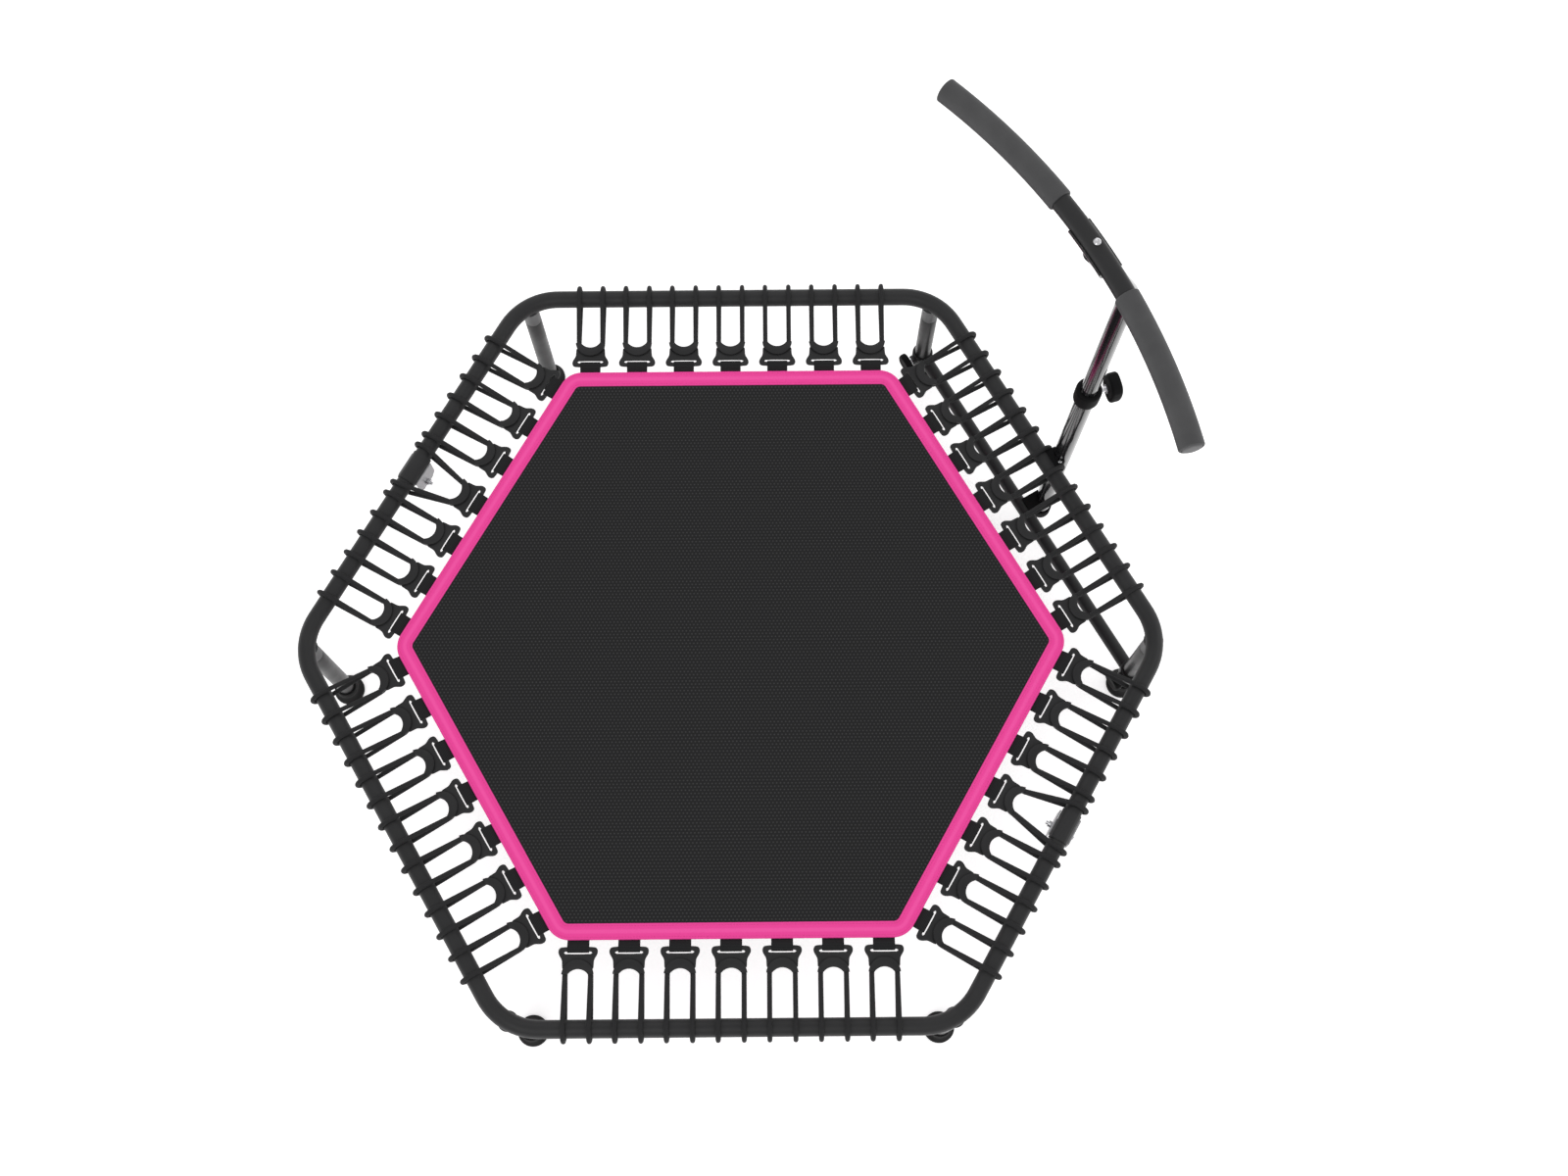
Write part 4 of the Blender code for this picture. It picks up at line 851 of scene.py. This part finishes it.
def cradle_grid():
    """A channel bent round the cord's loop: outer rim, top, and an inner wall that thins to its tips."""
    a = np.radians(np.linspace(-84, 84, 45))
    way = np.stack([np.sin(a), -np.cos(a)], 1)
    centre = np.array([0, BIGHT_Y])
    opening_x = 0.0146 * np.sin(a) / math.sin(math.radians(84))
    opening = np.stack([opening_x, 0.4985 - np.sqrt(0.0180 ** 2 - opening_x ** 2)], 1)
    at = {name: centre + way * r for name, r in (("rim", 0.0234), ("rim_in", 0.0224), ("wall", 0.0148))}
    at["inner"] = opening
    wall_gap = np.linalg.norm(at["wall"] - opening, axis=1) < 0.0005
    at["wall"] = np.where(wall_gap[:, None], opening + (at["rim_in"] - opening) * 0.06, at["wall"])
    fade = np.clip((np.abs(a) / a[-1] - 0.72) / 0.28, 0, 1) ** 2
    top, under, soft = CORD_TOP + CORD + 0.0010, CORD_TOP + CORD + 0.0001, 0.0007
    rim_low = HOOK_TOP - 0.0008 + (under - 0.0002 - HOOK_TOP + 0.0008) * fade
    wall_low = HOOK_LOW + (under - 0.0002 - HOOK_LOW) * fade
    rows = [(at["rim"], rim_low), (at["rim"], top - soft), (at["rim"] * 0.92 + at["inner"] * 0.08, top),
            (at["inner"] * 0.90 + at["rim"] * 0.10, top), (at["inner"], top - soft), (at["inner"], wall_low),
            (at["wall"], wall_low), (at["wall"], under), ((at["wall"] + at["rim_in"]) / 2, under),
            ((at["wall"] + at["rim_in"] * 3) / 4, under), (at["rim_in"], under), (at["rim_in"], rim_low)]
    return np.stack([np.column_stack([flat, np.broadcast_to(z, a.shape)]) for flat, z in rows], 1)


hook_plate, hook_cradle = plate_grid(), cradle_grid()
print("hook", round(float(np.ptp(outer_loop[:, 0])) * 1000, 1), "mm wide")

# %% [markdown]
# A webbing tab is a flat strap. It comes out from under the pink edge, goes over the hook's inner bar,
# down through the slot and back beneath. Its line is a narrow racetrack seen from the side, and a flat
# oval is carried along it.


# %% Webbing tabs
def strap_grid():
    """A thin flat section carried round the bar of the hook and back under the mat's edge."""
    t, top, low = 0.0009, HOOK_TOP + 0.0002, HOOK_LOW - 0.0005
    middle = (top + low) / 2
    a = np.radians(np.linspace(90, -90, 11))
    nose_y, nose_z = 0.4558 + 0.0012 * np.cos(a), middle + (top - middle) * np.sin(a)
    line = np.concatenate([[[0.4220, 0.2926], [0.4375, 0.2928], [0.4440, 0.2950], [0.4475, top]],
                           np.stack([nose_y, nose_z], 1),
                           [[0.4475, low], [0.4375, 0.2915], [0.4220, 0.2915]]])
    s = np.concatenate([[0], np.cumsum(np.linalg.norm(np.diff(line, axis=0), axis=1))])
    at = np.linspace(0, s[-1], 60)
    line = np.stack([np.interp(at, s, line[:, k]) for k in range(2)], 1)
    way = np.gradient(line, axis=0)
    way /= np.linalg.norm(way, axis=1)[:, None]
    normal = np.stack([-way[:, 1], way[:, 0]], 1)
    half = 0.0158
    shape = [(-half, 0), (-half + 0.0006, t / 2), (-0.006, t / 2), (0.006, t / 2),
             (half - 0.0006, t / 2), (half, 0), (half - 0.0006, -t / 2), (0.006, -t / 2),
             (-0.006, -t / 2), (-half + 0.0006, -t / 2)]
    x, off = np.array(shape).T
    yz = line[:, None] + normal[:, None] * off[None, :, None]
    return np.concatenate([np.broadcast_to(x[None, :, None], (len(line), len(x), 1)), yz], 2)


strap = strap_grid()

# %% [markdown]
# Each elastic is one loop of round cord. From the bend round its hook, both strands run out over the
# rail, hug its top and outer side, and come back beneath to the hook's underside. The line is worked
# out as straight runs and arcs, closed on itself. Where a loop straddles a rail joint, its strands
# spread apart to pass the sleeve.

# %% Elastic cords
HUG = RAIL_RADIUS + 0.0007 + CORD
SPREAD, JOINT_SPREAD = 0.0185, 0.0350


def loop_line(spread, samples=150):
    """Bend at the hook, strand over the rail, arc round the rail, strand back, bend beneath, and home."""
    bend_r, bend_y = 0.0185, BIGHT_Y
    low = CORD_TOP - 2 * CORD
    a = np.radians(np.linspace(0, 180, 25))
    bend = np.stack([bend_r * np.cos(a), bend_y - bend_r * np.sin(a), np.full(25, CORD_TOP)], 1)
    w = np.radians(np.linspace(100, -95, 25))
    wrap = np.stack([RAIL_APOTHEM + HUG * np.cos(w), RAIL_Z + HUG * np.sin(w)], 1)
    left = np.column_stack([np.full(25, -spread), wrap])
    right = np.column_stack([np.full(25, spread), wrap[::-1]])
    under = np.stack([bend_r * np.cos(a), bend_y - 0.001 - bend_r * np.sin(a), np.full(25, low)], 1)[::-1]
    line = np.concatenate([bend, left, under, right, bend[:1]])
    s = np.concatenate([[0], np.cumsum(np.linalg.norm(np.diff(line, axis=0), axis=1))])
    at = np.linspace(0, s[-1], samples, endpoint=False)
    return np.stack([np.interp(at, s, line[:, k]) for k in range(3)], 1), float(s[-1])


lengths = set()
for number in SIDES:
    places = (np.arange(HOOKS) - (HOOKS - 1) / 2) * HOOK_PITCH
    cords, hook_plates, hook_cradles, straps = [], [], [], []
    for k, x in enumerate(places):
        straddles = number in JOINT_SIDES and k == HOOKS // 2
        line, length = loop_line(JOINT_SPREAD if straddles else SPREAD)
        lengths.add(round(length, 3))
        shift = np.array([x, 0, 0])
        cords.append(to_side(tube(line, CORD, 10, closed=True) + shift, number))
        hook_plates.append(to_side(hook_plate + shift, number))
        hook_cradles.append(to_side(hook_cradle + shift, number))
        straps.append(to_side(strap + shift, number))
    plates = build(f"hooks_{number}", hook_plates, hook_nylon, wrap_rows=True)
    cradles = build(f"hook_cradles_{number}", hook_cradles, hook_nylon)
    tabs = build(f"webbing_tabs_{number}", straps, webbing)
    carried(plates, "mat", "hook_plastic", f"hook_row_{number}")
    carried(cradles, "mat", "hook_plastic")
    carried(tabs, "mat", "jump_cloth")
    loops = build(f"elastic_cords_{number}", cords, cord_braid, wrap_rows=True)
    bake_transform(loops)
    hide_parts(f"elastic_row_{number}")
print("cords", HOOKS * 6, "in loops of", sorted(lengths), "m, the longer ones over the rail joints")

# %% [markdown]
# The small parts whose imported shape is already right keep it, and get a fuller finish: sleeves,
# brackets, bolts, clamp screws and the two blocks that hold the post.

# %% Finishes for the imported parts
KEPT = {"joint_sleeve_1": powder_coat, "joint_sleeve_2": powder_coat, "joint_bracket_1": bracket_zinc,
        "joint_bracket_2": bracket_zinc, "joint_bolt_1": bright_steel, "joint_bolt_2": bright_steel,
        "rail_clamp": moulded_black, "crossbar_clamp": moulded_black, "rail_bolt": bright_steel,
        "handlebar_bolt": bright_steel, "height_screw": bright_steel, "crossbar_1_screw": bright_steel,
        "crossbar_2_screw": bright_steel}
for name, material in KEPT.items():
    nodes[name].data.materials.clear()
    nodes[name].data.materials.append(material)
print("packed parts kept:", len(KEPT))

# %% [markdown]
# The studio: a pale floor that runs out far enough to fill the view, an even white sky, and three large
# soft lamps, so that the dark frame shows its edges. The floor glows a little, which keeps the shadows
# faint.

# %% Floor, light and camera
floor_mesh = bpy.data.meshes.new("floor")
F = 12.0
floor_mesh.from_pydata([(-F, -F, -0.0005), (F, -F, -0.0005), (F, F, -0.0005), (-F, F, -0.0005)], [],
                       [(0, 1, 2, 3)])
floor = bpy.data.objects.new("floor", floor_mesh)
bpy.context.scene.collection.objects.link(floor)
paper, tree, shader = finish("paper", (0.93, 0.93, 0.93), 0.9, gloss=0.0)
shader.inputs["Emission Color"].default_value = (1, 1, 1, 1)
shader.inputs["Emission Strength"].default_value = 0.55
floor_mesh.materials.append(paper)

world = bpy.data.worlds.new("studio")
world.use_nodes = True
world.node_tree.nodes["Background"].inputs["Color"].default_value = (1, 1, 1, 1)
world.node_tree.nodes["Background"].inputs["Strength"].default_value = 0.72
bpy.context.scene.world = world


def lamp(name, place, target, size, power):
    """A square area lamp that faces a target."""
    data = bpy.data.lights.new(name, "AREA")
    data.size, data.energy = size, power
    obj = bpy.data.objects.new(name, data)
    obj.location = place
    obj.rotation_euler = (Vector(target) - Vector(place)).to_track_quat("-Z", "Y").to_euler()
    bpy.context.scene.collection.objects.link(obj)


lamp("key", (1.6, -1.8, 3.6), (0, 0, 0.3), 2.2, 19)
lamp("fill", (-2.4, 0.8, 2.8), (0, 0, 0.3), 2.6, 12)
lamp("rim", (0.8, 3.0, 2.2), (0, 0.3, 0.6), 1.6, 11)

camera = bpy.data.objects.new("camera", bpy.data.cameras.new("camera"))
camera.data.lens, camera.data.sensor_width = 43.159, 36.0
camera.location = (0.6397, -0.2855 + CENTRE_Y, 3.0392)
camera.rotation_euler = tuple(math.radians(v) for v in (15.9155, -0.0269, 59.4937))
bpy.context.scene.collection.objects.link(camera)
bpy.context.scene.camera = camera
bpy.context.scene.view_settings.view_transform = "Standard"
